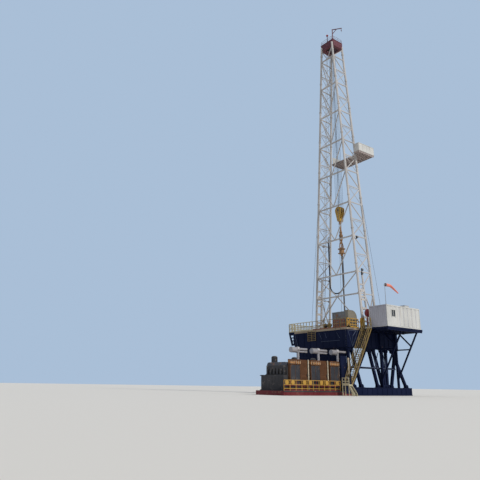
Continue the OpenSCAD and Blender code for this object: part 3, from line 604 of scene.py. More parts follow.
def endTree(tree, geometry, skin, gout):
    real = addNode(tree, "GeometryNodeRealizeInstances", {0: geometry})
    painted = addNode(tree, "GeometryNodeSetMaterial", {"Geometry": real.outputs[0], "Material": skin})
    feed(tree, gout, {0: painted.outputs[0]})
    return tree


def buildTubes():
    # a round bar along every edge
    tree, o, gout, curve = startTree("tubesOnEdges", [("Radius", "Float", 0.002), ("Sides", "Int", 6)])
    ring = addNode(tree, "GeometryNodeCurvePrimitiveCircle", {"Resolution": o["Sides"],
                                                              "Radius": o["Radius"]})
    tube = addNode(tree, "GeometryNodeCurveToMesh", {"Curve": curve, "Profile Curve": ring.outputs[0],
                                                     "Fill Caps": True})
    return endTree(tree, tube.outputs[0], o["Skin"], gout)


def buildRow(name, studs):
    # a rib or a bolt head every so far along each edge, turned to face one way
    tree, o, gout, curve = startTree(name, [("Pitch", "Float", 0.05), ("Size", "Vector", (0.01, 0.01, 0.01)),
                                            ("Facing", "Vector", (0, 0, 1))])
    spaced = addNode(tree, "GeometryNodeResampleCurve", {"Curve": curve, "Length": o["Pitch"]},
                     mode="LENGTH").outputs[0]
    tangent = addNode(tree, "GeometryNodeInputTangent").outputs[0]
    lift = addNode(tree, "FunctionNodeAlignRotationToVector", {"Vector": o["Facing"]}, axis="Z").outputs[0]
    turn = addNode(tree, "FunctionNodeAlignRotationToVector", {"Rotation": lift, "Vector": tangent},
                   axis="X", pivot_axis="Z").outputs[0]
    if studs:
        radius, _, depth = splitNode(tree, o["Size"])
        form = addNode(tree, "GeometryNodeMeshCylinder", {"Vertices": 6, "Radius": radius, "Depth": depth})
    else:
        form = addNode(tree, "GeometryNodeMeshCube", {"Size": o["Size"]})
    copies = addNode(tree, "GeometryNodeInstanceOnPoints", {"Points": spaced, "Instance": form.outputs[0],
                                                            "Rotation": turn})
    return endTree(tree, copies.outputs[0], o["Skin"], gout)


trees = {"tubes": buildTubes(), "ribs": buildRow("ribsOnEdges", False),
         "studs": buildRow("studsOnEdges", True)}


def runTree(name, which, lines, values, skin, body="rig"):
    verts, edges = [], []
    for points in lines:
        first = len(verts)
        verts.extend(at(p) for p in points)
        edges.extend((first + i, first + i + 1) for i in range(len(points) - 1))
    mesh = bpy.data.meshes.new(name)
    mesh.from_pydata(verts, edges, [])
    obj = addObject(name, mesh)
    mod = obj.modifiers.new("shape", "NODES")
    mod.node_group = trees[which]
    ids = {s.name: s.identifier for s in trees[which].interface.items_tree
           if s.item_type == "SOCKET" and s.in_out == "INPUT"}
    for key, value in {**values, "Skin": finish[skin]}.items():
        mod[ids[key]] = value
    depth = bpy.context.evaluated_depsgraph_get()
    made = bpy.data.meshes.new_from_object(obj.evaluated_get(depth), depsgraph=depth)
    obj.modifiers.clear()
    obj.data = made
    made.name = name
    return placePiece(obj, body)


def tubeLines(name, lines, radius, skin, sides=6):
    piece = runTree(name, "tubes", lines, {"Radius": radius * mm, "Sides": sides}, skin)
    if sides > 5:
        piece.data.shade_smooth()
        piece.data.set_sharp_from_angle(angle=math.radians(65))
    return piece


def ribLines(name, lines, pitch, size, facing, skin):
    values = {"Pitch": pitch * mm, "Size": [s * mm for s in size], "Facing": facing}
    return runTree(name, "ribs", lines, values, skin)


def studLines(name, lines, pitch, radius, high, facing, skin, body="rig"):
    values = {"Pitch": pitch * mm, "Size": (radius * mm, 0.0, high * mm), "Facing": facing}
    return runTree(name, "studs", lines, values, skin, body)


print("stage 4: shape tools")

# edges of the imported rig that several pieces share
floorLeft, floorRear, _, floorRight, floorFront, floorTop = span("drill_floor")
_, beamRear, _, beamRight, beamFront, beamTop = span("base_beams")
mast = {"foot": floorTop + 30, "crown": span("crown_frame")[2], "wide": 800, "topWide": 220, "deep": 260,
        "topDeep": 220, "girts": [floorTop + 447] + [floorTop + 730 + 478 * i for i in range(8)]}


def taper(low, high, z):
    return (low + (high - low) * (z - mast["foot"]) / (mast["crown"] - mast["foot"])) / 2


def halfWide(z):
    return taper(mast["wide"], mast["topWide"], z)


def legPoint(sx, sy, z):
    return sx * halfWide(z), sy * taper(mast["deep"], mast["topDeep"], z), z


# rotary hose: the route repeats part.scad's loop, from the swivel (0) to the standpipe (1)
hose = {"x0": -35, "y": 50, "z0": 1905, "x1": -285.06, "z1": 2090, "low": 1412, "radius": 8.2, "sink": 0.3,
        "clear": 12, "cuffLift": 2, "cuff": ((7.6, 2), (10.4, 4), (10.4, 14), (9.4, 16), (9.4, 30),
                                             (10.4, 32), (10.4, 38), (7.6, 41))}


def makeHose(s):
    x0, x1, y, low = (s[k] for k in ("x0", "x1", "y", "low"))
    down = [(x0, y, z) for z in steps(s["z0"] - s["sink"], low, 14)]
    turn = [(x, y, z) for x, z in arcPoints((x0 + x1) / 2, low, (x0 - x1) / 2, 0, -180, 16)[1:-1]]
    up = [(x1, y, z) for z in steps(low, s["z1"] - s["sink"], 20)]
    route = down + turn + up
    shape = newShape()
    addPath(shape, route, s["radius"], sides=16)
    piece = finishShape(shape, "rotaryHose", "hoseRubber", body=None)
    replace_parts(piece, "rotary_hose")
    # the standpipe's leg stays; the hose is baked in place, and only its cuff at the swivel rides with the
    # block
    start, end = at((x1 + s["clear"], 0, 0)), at((x0 - s["clear"], 0, 0))
    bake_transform(piece)
    for end, x, z, body in (("Low", x0, s["z0"], "block"), ("High", x1, s["z1"], "rig")):
        cuff = newShape()
        addLathe(cuff, s["cuff"], (x, y, z + s["cuffLift"]), (0, 0, -1), 16)
        finishShape(cuff, "hoseCuff" + end, "pipeGrey", body=body)


# ropes from the crown to the travelling block
ropes = {"xs": (-36, -12, 12, 36), "y": 31.6, "radius": 1.7}


def makeRopes(s):
    top, low = span("drilling_lines")[5], span("travelling_block")[5]
    shape = newShape()
    for x in s["xs"]:
        for y in (-s["y"], s["y"]):
            addPath(shape, [(x, y, z) for z in steps(low, top, 24)], s["radius"], sides=6)
    piece = finishShape(shape, "hoistRopes", "wireRope", body=None)
    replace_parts(piece, "drilling_lines")
    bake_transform(piece)


# guard rails: pipe, posts, kick plate and mesh; corner holds the open plate's boxes as y, z, y, z
rails = {"high": 110, "pipe": 3.2, "palePipe": 4.8, "gap": 95, "paleGap": 58, "inset": 4.5, "kick": 14,
         "mesh": 0.9, "meshPitch": 13, "meshRows": 7, "rearMid": -120, "frontOpen": 260, "sideEnd": -268,
         "bar": 5.0, "bars": (36, 70, 104), "posts": (236, 262, 292, 330, 372, 410), "postHigh": 98,
         "straps": (44, 84), "corner": ((0, 0, 58, 14), (0, 48, 58, 60), (0, 96, 58, 108), (0, 0, 10, 108),
                                        (48, 0, 58, 108)), "shields": ((31, 0, 4, 18), (21, 12, 18, 20.5))}


def railRun(plates, p, q, s, gap):
    # two pipes, posts and a kick plate between two corners of the floor
    a, b = Vector((*p, floorTop)), Vector((*q, floorTop))
    middle, top = (Vector((0, 0, s["high"] * k - s["pipe"])) for k in (0.5, 1.0))
    count = max(1, round((b - a).length / gap))
    feet = [a.lerp(b, i / count) for i in range(count + 1)]
    ahead = (b - a).normalized()
    w = Vector((-ahead.y, ahead.x, 0)) * 1.2
    addSlab(plates, [a - w, b - w, b + w, a + w], (0, 0, s["kick"]))
    return [[a + lift, b + lift] for lift in (middle, top)] + [[foot, foot + top] for foot in feet]


def railPanel(p, q, s):
    # mesh between the kick plate and the hand rail
    a, b = Vector((*p, floorTop)), Vector((*q, floorTop))
    count, rows = max(2, round((b - a).length / s["meshPitch"])), s["meshRows"]
    low, high = Vector((0, 0, s["kick"])), Vector((0, 0, s["high"] - 6))
    feet = [a.lerp(b, i / count) for i in range(count + 1)]
    lifts = [Vector((0, 0, z)) for z in steps(s["kick"], s["high"], rows)[1:-1]]
    return [[foot + low, foot + high] for foot in feet] + [[a + lift, b + lift] for lift in lifts]


def makeWingRails(s):
    left, rear, wing = floorLeft - 4, floorRear + s["inset"], span("left_wing")
    x, y = wing[0] + s["inset"], wing[4] - s["inset"]
    runs = [((x, rear), (left, rear)), ((x, rear), (x, y)), ((x, y), (left, y))]
    tubes, plates, wires = [], newShape(), []
    for p, q in runs + [((floorLeft + s["inset"], rear), (s["rearMid"], rear))]:
        tubes += railRun(plates, p, q, s, s["paleGap"])
    for p, q in runs:
        wires += railPanel(p, q, s)
    tubeLines("wingRailPipes", tubes, s["palePipe"], "paleRail", 8)
    tubeLines("wingRailMesh", wires, s["mesh"], "paleRail", 4)
    finishShape(plates, "wingKickPlate", "paleRail")


def makeFloorRails(s):
    left, right = floorLeft + s["inset"], floorRight - s["inset"]
    rear, front = floorRear + s["inset"], floorFront - s["inset"]
    wingFront, opening = span("left_wing")[4] + s["inset"], s["frontOpen"]
    tubes, plates = [], newShape()
    for p, q in (((left, wingFront), (left, front)), ((left, front), (-opening, front)),
                 ((opening, front), (right, front))):
        tubes += railRun(plates, p, q, s, s["gap"])
    # thick rail on the right side, with an open plate at its corner
    bars = [line("y", rear, s["sideEnd"], right, floorTop + lift) for lift in s["bars"]]
    posts = [line("z", floorTop, floorTop + s["bars"][-1], right, y) for y in steps(rear, s["sideEnd"], 4)]
    rows = s["corner"] + ((0, 0, s["sideEnd"] - rear, s["kick"]),)
    addPlates(plates, "x", right + 3, right + 6.5, [(rear + a, floorTop + b, rear + c, floorTop + d)
                                                    for a, b, c, d in rows])
    piece = tubeLines("floorRailPipes", tubes + bars + posts, s["pipe"], "yellowRail", sides=8)
    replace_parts(piece, "floor_rails")
    tubeLines("sideRailBars", bars, s["bar"], "yellowRail", sides=8)
    # round-topped guard plate beside the doghouse
    centre = span("doghouse_deck")[1] + 45
    for half, lift, near, far in s["shields"]:
        outline = [(centre - half, floorTop + lift), (centre + half, floorTop + lift)]
        outline += arcPoints(centre, floorTop + s["postHigh"], half, 0, 180, 14)
        addPrism(plates, outline, "x", floorRight + near, floorRight + far)
    finishShape(plates, "floorKickPlate", "yellowRail", bevel=0.8)


def makeRearRail(s):
    # behind the machinery: pipes in the darker stair yellow and brown posts, made darker and browner as
    # painted shade on the rail's shaded side
    shadedRail, y = newShape(), floorRear + s["inset"]
    tubes = railRun(shadedRail, (s["rearMid"], y), (floorRight - s["inset"], y), s, s["gap"])
    # painted shade: the rear rail's pipes take the darker stair yellow, not the rail yellow
    tubeLines("rearRailPipes", tubes, s["pipe"], "stairYellow", 8)
    posts = [(x - 5, floorTop, x + 5, floorTop + s["postHigh"]) for x in s["posts"]]
    addPlates(shadedRail, "y", y - 1.5, y + 6, posts)
    near, far, levels = s["posts"][0] - 5, s["posts"][-1] + 5, [floorTop + lift for lift in s["straps"]]
    addPlates(shadedRail, "y", y, y + 4, [(near, z, far, z + 9) for z in levels])
    # painted shade: posts, straps and kick plate in the shade brown
    finishShape(shadedRail, "rearRailPosts", "rustBrown", 0.7)


# stairs: lattice between the stringers and the hand rails
stairs = {"slope": 1.7, "lowSlope": 1.5, "knee": 230, "landing": 118, "landingLen": 50, "width": 88,
          "treads": 22, "lowTreads": 5, "steps": 3, "stepGoing": 22, "panels": 11, "lowPanels": 3,
          "hand": 107, "lowHand": 67, "bar": 1.3, "rail": 2.4, "post": (535, -580),
          "postForm": ((8, 0), (8, 150), (9, 154), (12, 162), (12, 170), (8, 178), (0, 180))}


def railPoint(x, run, k, share):
    # k panels down a run, at a share of the hand rail's height
    (ya, za), (yb, zb), (highA, highB), count = run
    t = k / count
    return x, ya + (yb - ya) * t, za + (zb - za) * t + (highA + (highB - highA) * t) * share


def makeStairRails(s, runs):
    low, _, _, high, _, _ = span("stair_sides")
    bars, pipes = [], []
    for x in (low + 3, high - 3):
        for run in runs:
            count = run[3]
            bars += [[railPoint(x, run, i, 0), railPoint(x, run, i + 0.5, 1), railPoint(x, run, i + 1, 0)]
                     for i in range(count)]
            pipes += [[railPoint(x, run, 0, share), railPoint(x, run, count, share)] for share in (1, 0.5)]
    tubeLines("stairLattice", bars, s["bar"], "stairYellow", 5)
    tubeLines("stairHandRails", pipes, s["rail"], "stairYellow", 8)


def makeStairs(s):
    y0, z0, z1, z2 = span("stair_sides")[4], floorTop, s["knee"], s["landing"]
    y1 = y0 - (z0 - z1) / s["slope"]
    y2 = y1 - (z1 - z2) / s["lowSlope"]
    makeStairRails(s, [((y0, z0), (y1, z1), (s["hand"], s["hand"]), s["panels"]),
                       ((y1, z1), (y2, z2), (s["hand"], s["lowHand"]), s["lowPanels"])])
    left, yEnd = span("stair_landing")[0], y2 - s["landingLen"]
    right = left + s["width"] + 12
    ends = [[(left + 2, y2, z2 + lift), (left + 2, yEnd + 2, z2 + lift), (right - 2, yEnd + 2, z2 + lift)]
            for lift in (35, s["lowHand"])]
    tubeLines("landingRails", ends, s["rail"] + 0.6, "paleRail", 8)
    # nosings and grating bars of the treads, near black as painted shade
    x0 = span("stair_treads")[0]
    x1 = x0 + s["width"]
    rise, lowRise = (z0 - z1) / s["treads"], (z1 - z2) / s["lowTreads"]
    treads = [(y0 - rise * i / s["slope"], z0 - rise * i) for i in range(1, s["treads"] + 1)]
    treads += [(y1 - lowRise * i / s["lowSlope"], z1 - lowRise * i) for i in range(1, s["lowTreads"])]
    nosing = newShape()
    addPlates(nosing, "x", x0, x1, [(y - 10, z - 5, y - 7.6, z + 1.2) for y, z in treads])
    for i in range(1, s["steps"] + 1):
        x, z = right + s["stepGoing"] * i + 2, z2 * (1 - i / (s["steps"] + 1))
        addBox(nosing, (x - 1, yEnd + 6.5, z - 5), (x + 1.6, y2 - 6.5, z + 1.2))
    finishShape(nosing, "treadNosings", "treadSteel")
    grating = [line("x", x0 + 3, x1 - 3, y + 2, z + 0.6) for y, z in treads]
    ribLines("treadGrating", grating, 5.5, (1.0, 18, 1.6), (0, 0, 1), "treadSteel")
    # post with a round top where the stairs turn less steep
    post = newShape()
    addLathe(post, s["postForm"], (*s["post"], z1 - 6), sides=16)
    finishShape(post, "stairPost", "creamPaint")


# doghouse: corrugated panels, posts, window and door frames
cabin = {"wave": 6.0, "pitch": 72.0, "endPitch": 30.0, "endWave": 2.5, "door": (365, 455, 6, 206), "rim": 8,
         "edge": 5.5, "fold": ((0.0, 0.15), (0.22, 0.15), (0.36, 1.0), (0.64, 1.0), (0.78, 0.15))}


def corrugated(shape, axis, face, out, wall, pitch, wave):
    # pressed sheet along a wall: trapezoid waves standing out from the wall's face
    u0, u1, z0, z1 = wall
    n = max(1, round((u1 - u0) / pitch))
    step = (u1 - u0) / n
    outer = [(u0 + step * i + step * f, h) for i in range(n) for f, h in cabin["fold"]] + [(u1, 0.15)]
    back = face - out * 0.5
    outline = [(u, face + out * h * wave) for u, h in outer] + [(u1, back), (u0, back)]
    if axis == "y":
        outline = [(v, u) for u, v in outline]
    addPrism(shape, outline, "z", z0, z1)


def wallRound(hole, wall, rim):
    # what is left of a wall round an opening and its rim
    a, b, c, d = hole[0] - rim, hole[1] + rim, hole[2] - rim, hole[3] + rim
    y0, y1, z0, z1 = wall
    return [(y0, a, z0, z1), (b, y1, z0, z1), (a, b, d, z1)] + ([(a, b, z0, c)] if c > z0 else [])


def makeCabin(s):
    x0, y0, z0, x1, y1, z1 = span("doghouse_sides")
    _, winRear, winLow, _, winFront, winTop = span("doghouse_window")
    rim, edge = s["rim"], s["edge"]
    doorRear, doorFront, doorLow, doorTop = (o + d for o, d in zip((y0, y0, z0, z0), s["door"]))
    wall = (y0 + rim, y1 - rim, z0 + 14, z1 - 10)
    sides, ends, frames = newShapes(3)
    window, doorway = (winRear, winFront, winLow, winTop), (doorRear, doorFront, doorLow, doorTop)
    for x, out, hole in ((x1, 1, window), (x0, -1, doorway)):
        for part in wallRound(hole, wall, rim):
            corrugated(sides, "y", x, out, part, s["pitch"], s["wave"])
        addPlates(sides, "x", x, x + out * edge, [(y0, z0 - 6, y1, z0 + 13), (y0, z1 - 9, y1, z1 + 5)])
    for x in (x0 - 4, x1 - 4):
        for y in (y0 - 4, y1 - 4):
            addBox(sides, (x, y, z0), (x + 8, y + 8, z1 + 4))
    finishShape(sides, "cabinPanels", "cabinWhite", bevel=0.5)
    for y, out in ((y0, -1), (y1, 1)):
        corrugated(ends, "x", y, out, (x0 + rim, x1 - rim, *wall[2:]), s["endPitch"], s["endWave"])
        addPlates(ends, "y", y, y + out * edge, [(x0 + 4, z0 - 6, x1 - 4, z0 + 13),
                                                 (x0 + 4, z1 - 9, x1 - 4, z1 + 5)])
    # painted shade: both ends take the darker, bluer cabin grey
    finishShape(ends, "cabinEnds", "cabinGrey", bevel=0.5)
    # window frame with a bar down its middle, and the doorway's frame
    middle = (winRear + winFront) / 2
    addPlates(frames, "x", x1 - 2, x1 + edge, [
        (winRear - rim, winLow - rim, winFront + rim, winLow),
        (winRear - rim, winTop, winFront + rim, winTop + rim),
        (winRear - rim, winLow, winRear, winTop), (winFront, winLow, winFront + rim, winTop),
        (middle - 1.5, winLow, middle + 1.5, winTop)])
    addPlates(frames, "x", x0 - 6, x0 + 1, [
        (doorRear - rim, doorLow, doorRear, doorTop + rim),
        (doorFront, doorLow, doorFront + rim, doorTop + rim),
        (doorRear, doorTop, doorFront, doorTop + rim)])
    finishShape(frames, "cabinFrames", "cabinWhite", bevel=0.6)


# travelling block: side plates, grooved sheaves, axle and bolts
block = {"sheave": 44, "hub": 28, "groove": 5, "plate": 7, "foot": 24, "sheaves": (-26.5, -13.5, 13.5, 26.5)}


def makeBlock(s):
    _, _, zLow, wide, thick, zTop = span("travelling_block")
    axle, plate = zTop - wide, s["plate"]
    plates, sheaves = newShapes(2)
    outline = arcPoints(0, axle, wide, -8, 188, 22) + arcPoints(0, zLow + s["foot"], s["foot"], 205, 335, 8)
    for low, high in ((-thick, plate - thick), (thick - plate, thick), (-4, 4)):
        addPrism(plates, outline, "y", low, high)
    for low in (plate - thick, 4):
        addBox(plates, (-22, low, zLow + 6), (22, low + thick - plate - 4, zLow + 46))
    piece = finishShape(plates, "blockPlates", "blockYellow", bevel=1.6, body="block")
    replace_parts(piece, "travelling_block")
    r, hub, deep = s["sheave"], s["hub"], s["sheave"] - s["groove"]
    groove = [(hub, -5.5), (r, -5.5), (deep, -1.5), (deep, 1.5), (r, 5.5), (hub, 5.5)]
    for y in s["sheaves"]:
        addLathe(sheaves, groove, (0, y, axle), (0, 1, 0), 36)
    addLathe(sheaves, [(9, -thick - 4), (12, -thick - 3), (12, thick + 3), (9, thick + 4)],
             (0, 0, axle), (0, 1, 0), 20)
    finishShape(sheaves, "blockSheaves", "sheaveSteel", body="block")
    for name, side in (("blockBoltsRear", -1), ("blockBoltsFront", 1)):
        rows = [line("z", zLow + 30, zLow + 150, x, side * (thick + 1.5)) for x in (-18, 18)]
        studLines(name, rows, 30, 3.4, 3.0, (0, side, 0), "sheaveSteel", body="block")


# crown: grooved sheaves, axle and rail
crown = {"sheaves": (-60, -36, -12, 12, 36, 60), "radius": 30, "rail": 62, "pipe": 1.8, "frame": 110}


def makeCrown(s):
    left, _, low, right, _, high = span("crown_sheaves")
    z, r = (low + high) / 2, s["radius"]
    shape = newShape()
    half = [(9, -8), (12, -8), (12, -5), (r - 8, -4), (r, -5.5), (r, -4.6), (r - 4.5, -1.2)]
    other = [(9, 8), (12, 8), (12, 5), (r - 8, 4), (r, 5.5), (r, 4.6), (r - 4.5, 1.2)]
    for x in s["sheaves"]:
        addLathe(shape, half + other[::-1], (x, 0, z), (1, 0, 0), 36)
    addLathe(shape, [(6, left), (8, left + 1), (8, right - 1), (6, right)], (0, 0, z), (1, 0, 0), 20)
    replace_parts(finishShape(shape, "crownSheaves", "sheaveSteel"), "crown_sheaves")
    _, _, foot, wide, deep, _ = span("crown_frame")
    top, x, y = foot + s["frame"], wide - 6, deep - 6
    corners = [(-x, -y), (x - 24, -y), (x, 34 - y), (x, y), (-x, y)]
    rail = [[(*c, top + lift) for c in corners + corners[:1]] for lift in (s["rail"], s["rail"] / 2)]
    rail += [line("z", top - 2, top + s["rail"], *c) for c in corners + [(0, y), (-x, 0), (x, 20)]]
    tubeLines("crownRail", rail, s["pipe"], "crownRed")


makeHose(hose)
makeRopes(ropes)
print("stage 5: hose and ropes")
makeWingRails(rails)
makeFloorRails(rails)
makeRearRail(rails)
makeStairs(stairs)
makeCabin(cabin)
print("stage 6: rails, stairs and doghouse")
makeBlock(block)
makeCrown(crown)
print("stage 7: travelling block and crown")

# engines behind the rig: grilles, radiator tanks, doors, posts and engine blocks
engine = {"pitch": 295, "long": 270, "top": 300, "grille": 145, "bars": 7, "bar": (1.8, 240, 2.0),
          "base": 45, "bodyGap": 4, "bodyTop": 255, "panelMid": 78, "panel": (4, 132, 3.5),
          "lips": ((148, 3.5), (0, 4.5)),
          "doorPanels": ((20, 150), (164, 292)), "cleaner": ((30, 0), (34, 4), (34, 60), (26, 70), (10, 74)),
          "pulley": ((58, 0), (62, 3), (62, 11), (50, 14), (14, 16), (14, 26), (0, 26))}


def addGrille(doors, dark, s, front, split):
    # dark opening in a frame of five bars
    y0, base, head = split - s["grille"], s["base"], s["base"] + s["top"] - 30
    middle = (y0 + split) / 2
    addBox(dark, (front - 6, y0 + 10, base + 16), (front + 0.8, split - 6, head - 10))
    addPlates(doors, "x", front - 4, front + 4, [
        (y0 + 2, base + 4, split - 2, base + 16), (y0 + 2, head - 10, split - 2, head),
        (y0 + 2, base + 4, y0 + 8, head), (split - 7, base + 4, split - 2, head),
        (middle - 2, base + 4, middle + 2, head)])


def addTank(header, fins, s, front, split):
    # radiator tank with a rounded top and six light ribs
    x, y0, z = front - 8, split - s["grille"], s["base"] + s["top"] - 8
    outline = [(x - 18, z - 20), (x + 18, z - 20)] + arcPoints(x, z + 2, 18, 0, 180, 12)
    addPrism(header, outline, "y", y0 - 4, split)
    ring = [(x - 20, z - 21), (x + 19.5, z - 21)] + arcPoints(x, z + 3, 19.5, 0, 180, 12)
    for y in steps(y0 + 6, split - 8, 5):
        addPrism(fins, ring, "y", y - 1.6, y + 1.6)


def addDoor(doors, dark, cream, s, front, split):
    # door with two panels and a handle, and the post beside it
    y1, base = split - s["grille"] + s["long"], s["base"]
    addBox(doors, (front - 20, split + 4, base + 6), (front - 12, y1 - 12, base + 306))
    rows = [(split + 14, base + low, y1 - 24, base + high) for low, high in s["doorPanels"]]
    addPlates(doors, "x", front - 13, front - 9.5, rows)
    addBox(dark, (front - 12, y1 - 22, base + 146), (front - 6, y1 - 18, base + 172))
    addBox(cream, (front - 10, y1 - 9, base), (front + 2, y1 + 1, base + 318))


def addEngine(dark, hood, s, left, front, y1):
    # hood, rocker covers, lips, air cleaner and pulley
    y0, x0, x1 = y1 - s["long"], left + 30, front - 34
    base, top, middle = s["base"], s["base"] + s["bodyTop"], y1 - s["long"] / 2
    outline = [(x0 + 6, top - 2), (x1 - 6, top - 2)] + arcPoints(x1 - 40, top, 34, 0, 90, 6)
    addPrism(hood, outline + arcPoints(x0 + 40, top, 34, 90, 180, 6), "y", y0 + 72, y1 - 72)
    for y, side in ((y0 + 66, -1), (y1 - 66, 1)):
        addPlates(dark, "y", y, y + side * 10, [(x - 14, base + 165, x + 14, base + 226)
                                                for x in steps(x0 + 30, x1 - 30, 5)])
    for lift, out in s["lips"]:
        addBox(dark, (left - out, y0 + 6, base + lift), (left + 2, y1 - 6, base + lift + 9))
    addLathe(dark, s["cleaner"], (x0 + 60, middle, top + 30), sides=20)
    addLathe(dark, s["pulley"], (x0 - 30, middle, base + 120), (-1, 0, 0), 28)


def makeEngines(s):
    front, left, base = span("engine_guards")[3] - 10, span("engines")[0], s["base"]
    splits = [span("engine_guards")[4] - s["pitch"] * k for k in range(3)]
    ends = [span("engines")[4] - s["bodyGap"] - s["pitch"] * k for k in range(3)]
    doors, dark, hood, cream, header, fins = newShapes(6)
    for split in splits:
        addGrille(doors, dark, s, front, split)
        addTank(header, fins, s, front, split)
    for split in splits[1:]:
        addDoor(doors, dark, cream, s, front, split)
    for y in ends:
        addEngine(dark, hood, s, left, front, y)
    finishShape(doors, "engineDoors", "guardBrown", bevel=1.0)
    finishShape(dark, "engineCores", "engineDark", bevel=0.8)
    finishShape(hood, "engineHoods", "slateSteel", 1.0)
    finishShape(header, "radiatorTanks", "headerOrange", 0.8)
    finishShape(fins, "radiatorRibs", "creamPaint")
    finishShape(cream, "guardPosts", "creamPaint", 0.8)
    bars = [line("y", y - s["grille"] + 14, y - 10, front + 1.8, base + 138) for y in splits]
    ribLines("grilleBars", bars, s["bars"], s["bar"], (1, 0, 0), "slateSteel")
    long, high = s["long"], base + s["panelMid"]
    ribLines("enginePanels", [line("y", y - long + 24, y - 24, left + 1, high) for y in ends], 41, s["panel"],
             (-1, 0, 0), "engineDark")
    last = line("x", left + 30, front - 60, ends[-1] - long - 0.5, high)
    ribLines("engineEndPanels", [last], 44, s["panel"], (0, -1, 0), "engineDark")
    posts = [y - s["grille"] + long for y in splits]
    vents = [line("z", base + a + 12, base + b - 12, front - 8.6, (y + post) / 2 - 5)
             for y, post in zip(splits[1:], posts[1:]) for a, b in s["doorPanels"]]
    ribLines("doorLouvres", vents, 9, (3.0, 60, 2.4), (1, 0, 0), "guardBrown")
    bolts = [line("z", base + 14, base + 306, front + 2.6, post - 4) for post in posts[1:]]
    studLines("guardBolts", bolts, 36, 2.4, 2.4, (1, 0, 0), "sheaveSteel")


# silencers: riser, ball, outlet, can and clamps; all but the first have a second pipe
silencer = {"pitch": 305, "reach": 134, "ball": 25, "tube": 13, "body": 29, "riser": 203, "bands": (-98, -40),
            "can": ((12, 0), (22, 2), (29, 9), (29, 67), (22, 74), (12, 77)), "clamps": (212, 300, 388, 440)}


def addSilencer(pipes, balls, clamps, heat, s, x, y, z):
    back, r, end, low = (0, 1, 0), s["tube"], s["reach"], z - 10
    addLathe(pipes, [(r, 0), (r, z - s["ball"] - s["riser"])], (x, y, s["riser"] + 2))
    addLathe(balls, globeProfile(s["ball"], 14), (x, y, z), sides=28)
    addPath(pipes, [(x, y + 4, z), (x, y + end * 0.5, z), (x, y + end - 2, z)], r - 0.6, sides=20)
    addRing(heat, r - 3, r + 1.6, 5, 0, (x, y + end - 5, z), back)
    addLathe(pipes, s["can"], (x, y - 106, low), back, 32)
    for d in s["bands"]:
        addRing(clamps, s["body"], s["body"] + 1.4, 5, 0, (x, y + d, low), back, 32)
    addLathe(pipes, [(14.4, 0), (14.4, 34)], (x, y - 34, z), back, 20)
    for high in s["clamps"]:
        addRing(clamps, 12, 17, 5, 0, (x, y, high), sides=20)


def makeSilencers(s):
    _, _, _, right, front, top = span("silencers")
    x, z = right - s["body"], top - s["ball"]
    pipes, balls, clamps, heat = newShapes(4)
    for k in range(3):
        y = front - s["reach"] - s["pitch"] * k
        addSilencer(pipes, balls, clamps, heat, s, x, y, z)
        if k:
            addPath(pipes, [(x, y + d, z - 27) for d in (-48, 40, 132)], 9.6, sides=16)
            addRing(heat, 7, 11, 5, 0, (x, y + 129, z - 27), (0, 1, 0), 20)
    finishShape(pipes, "silencerPipes", "silencerMetal")
    finishShape(balls, "silencerBalls", "whitePaint")
    finishShape(clamps, "silencerClamps", "pipeGrey")
    finishShape(heat, "silencerEnds", "engineDark")


# engine skid: red flanges and ribs, dark edge, and a rail with round panels
skid = {"high": 45, "rails": (110, 66, 28), "pipe": 3.4, "bays": 10, "near": 8, "far": 62, "discHigh": 84,
        "disc": ((23, 0), (25, 1), (25, 3), (23, 4), (6, 5), (0, 5))}


def makeSkid(s):
    _, y0, _, x, y1, _ = span("engine_skid")
    high, bays = s["high"], s["bays"]
    flanges, dark, discs = newShapes(3)
    addBox(dark, (x - 46, y0 + 2, high - 10), (x + 1.5, y1 - 2, high + 3))
    addPlates(flanges, "x", x - 5, x + 2.5, [(y0 + 4, 2, y1 - 4, 9), (y0 + 4, high - 17, y1 - 4, high - 11)])
    finishShape(flanges, "skidFlanges", "skidRed", bevel=0.8)
    finishShape(dark, "skidEdge", "engineDark", 0.8)
    ribLines("skidRibs", [line("y", y0 + 30, y1 - 30, x + 0.8, 19)], 62, (4, 19, 3), (1, 0, 0), "skidRed")
    near, far = y0 + s["near"], y1 - s["far"]
    pipes = [line("y", near, far, x - 4, high + lift - 4) for lift in s["rails"]]
    pipes += [line("z", high - 2, high + s["rails"][0] - 4, x - 4, y) for y in steps(near, far, bays)]
    tubeLines("skidRailPipes", pipes, s["pipe"], "yellowRail", 8)
    for i in [i for i in range(bays) if i % 3 < 2]:
        y = near + (far - near) * (i + 0.5) / bays
        addLathe(discs, s["disc"], (x - 6.5, y, high + s["discHigh"]), (1, 0, 0), 26)
    finishShape(discs, "skidRailDiscs", "yellowRail")


makeEngines(engine)
makeSilencers(silencer)
makeSkid(skid)
print("stage 8: engines and skid")

# substructure: each leg holds the y of its top and of its foot, each brace and line the ends of a bar
under = {"flange": 4, "deep": 9, "rib": 76, "girderLow": 530, "legPlate": (24, 34, 7),
         "eye": ((22, -21), (25, -19), (25, 19), (22, 21)), "pin": ((8, -28), (10, -26), (10, 26), (8, 28)),
         "legs": ((-448, -448), (-400, -250), (-140, -426), (-85, 45), (-5, 136), (145, 180), (232, 224),
                  (354, 590), (420, 300)),
         "braces": ((-395, 500, -330, 300), (-240, 480, -310, 250), (-60, 500, 40, 300), (60, 490, -30, 280),
                    (150, 500, 215, 250), (225, 480, 160, 260), (-440, 320, 380, 305)),
         "sideLines": ((-470, 722, -300, 722), (-470, 722, -400, 540), (-300, 722, -400, 540),
                       (-400, 540, -390, 660), (-390, 660, -330, 722), (-250, 722, -180, 560),
                       (-180, 560, -110, 722)),
         "rearLines": ((-440, 728, -370, 540), (0, 715, 40, 640), (100, 712, 120, 650), (290, 705, 335, 640),
                       (30, 612, 330, 612))}


def addFlanges(shape, axis, face, side, a, b, levels, s):
    # strips along a girder's outer face, one at each level
    addPlates(shape, axis, face - side, face + side * s["flange"], [(a, z, b, z + s["deep"]) for z in levels])


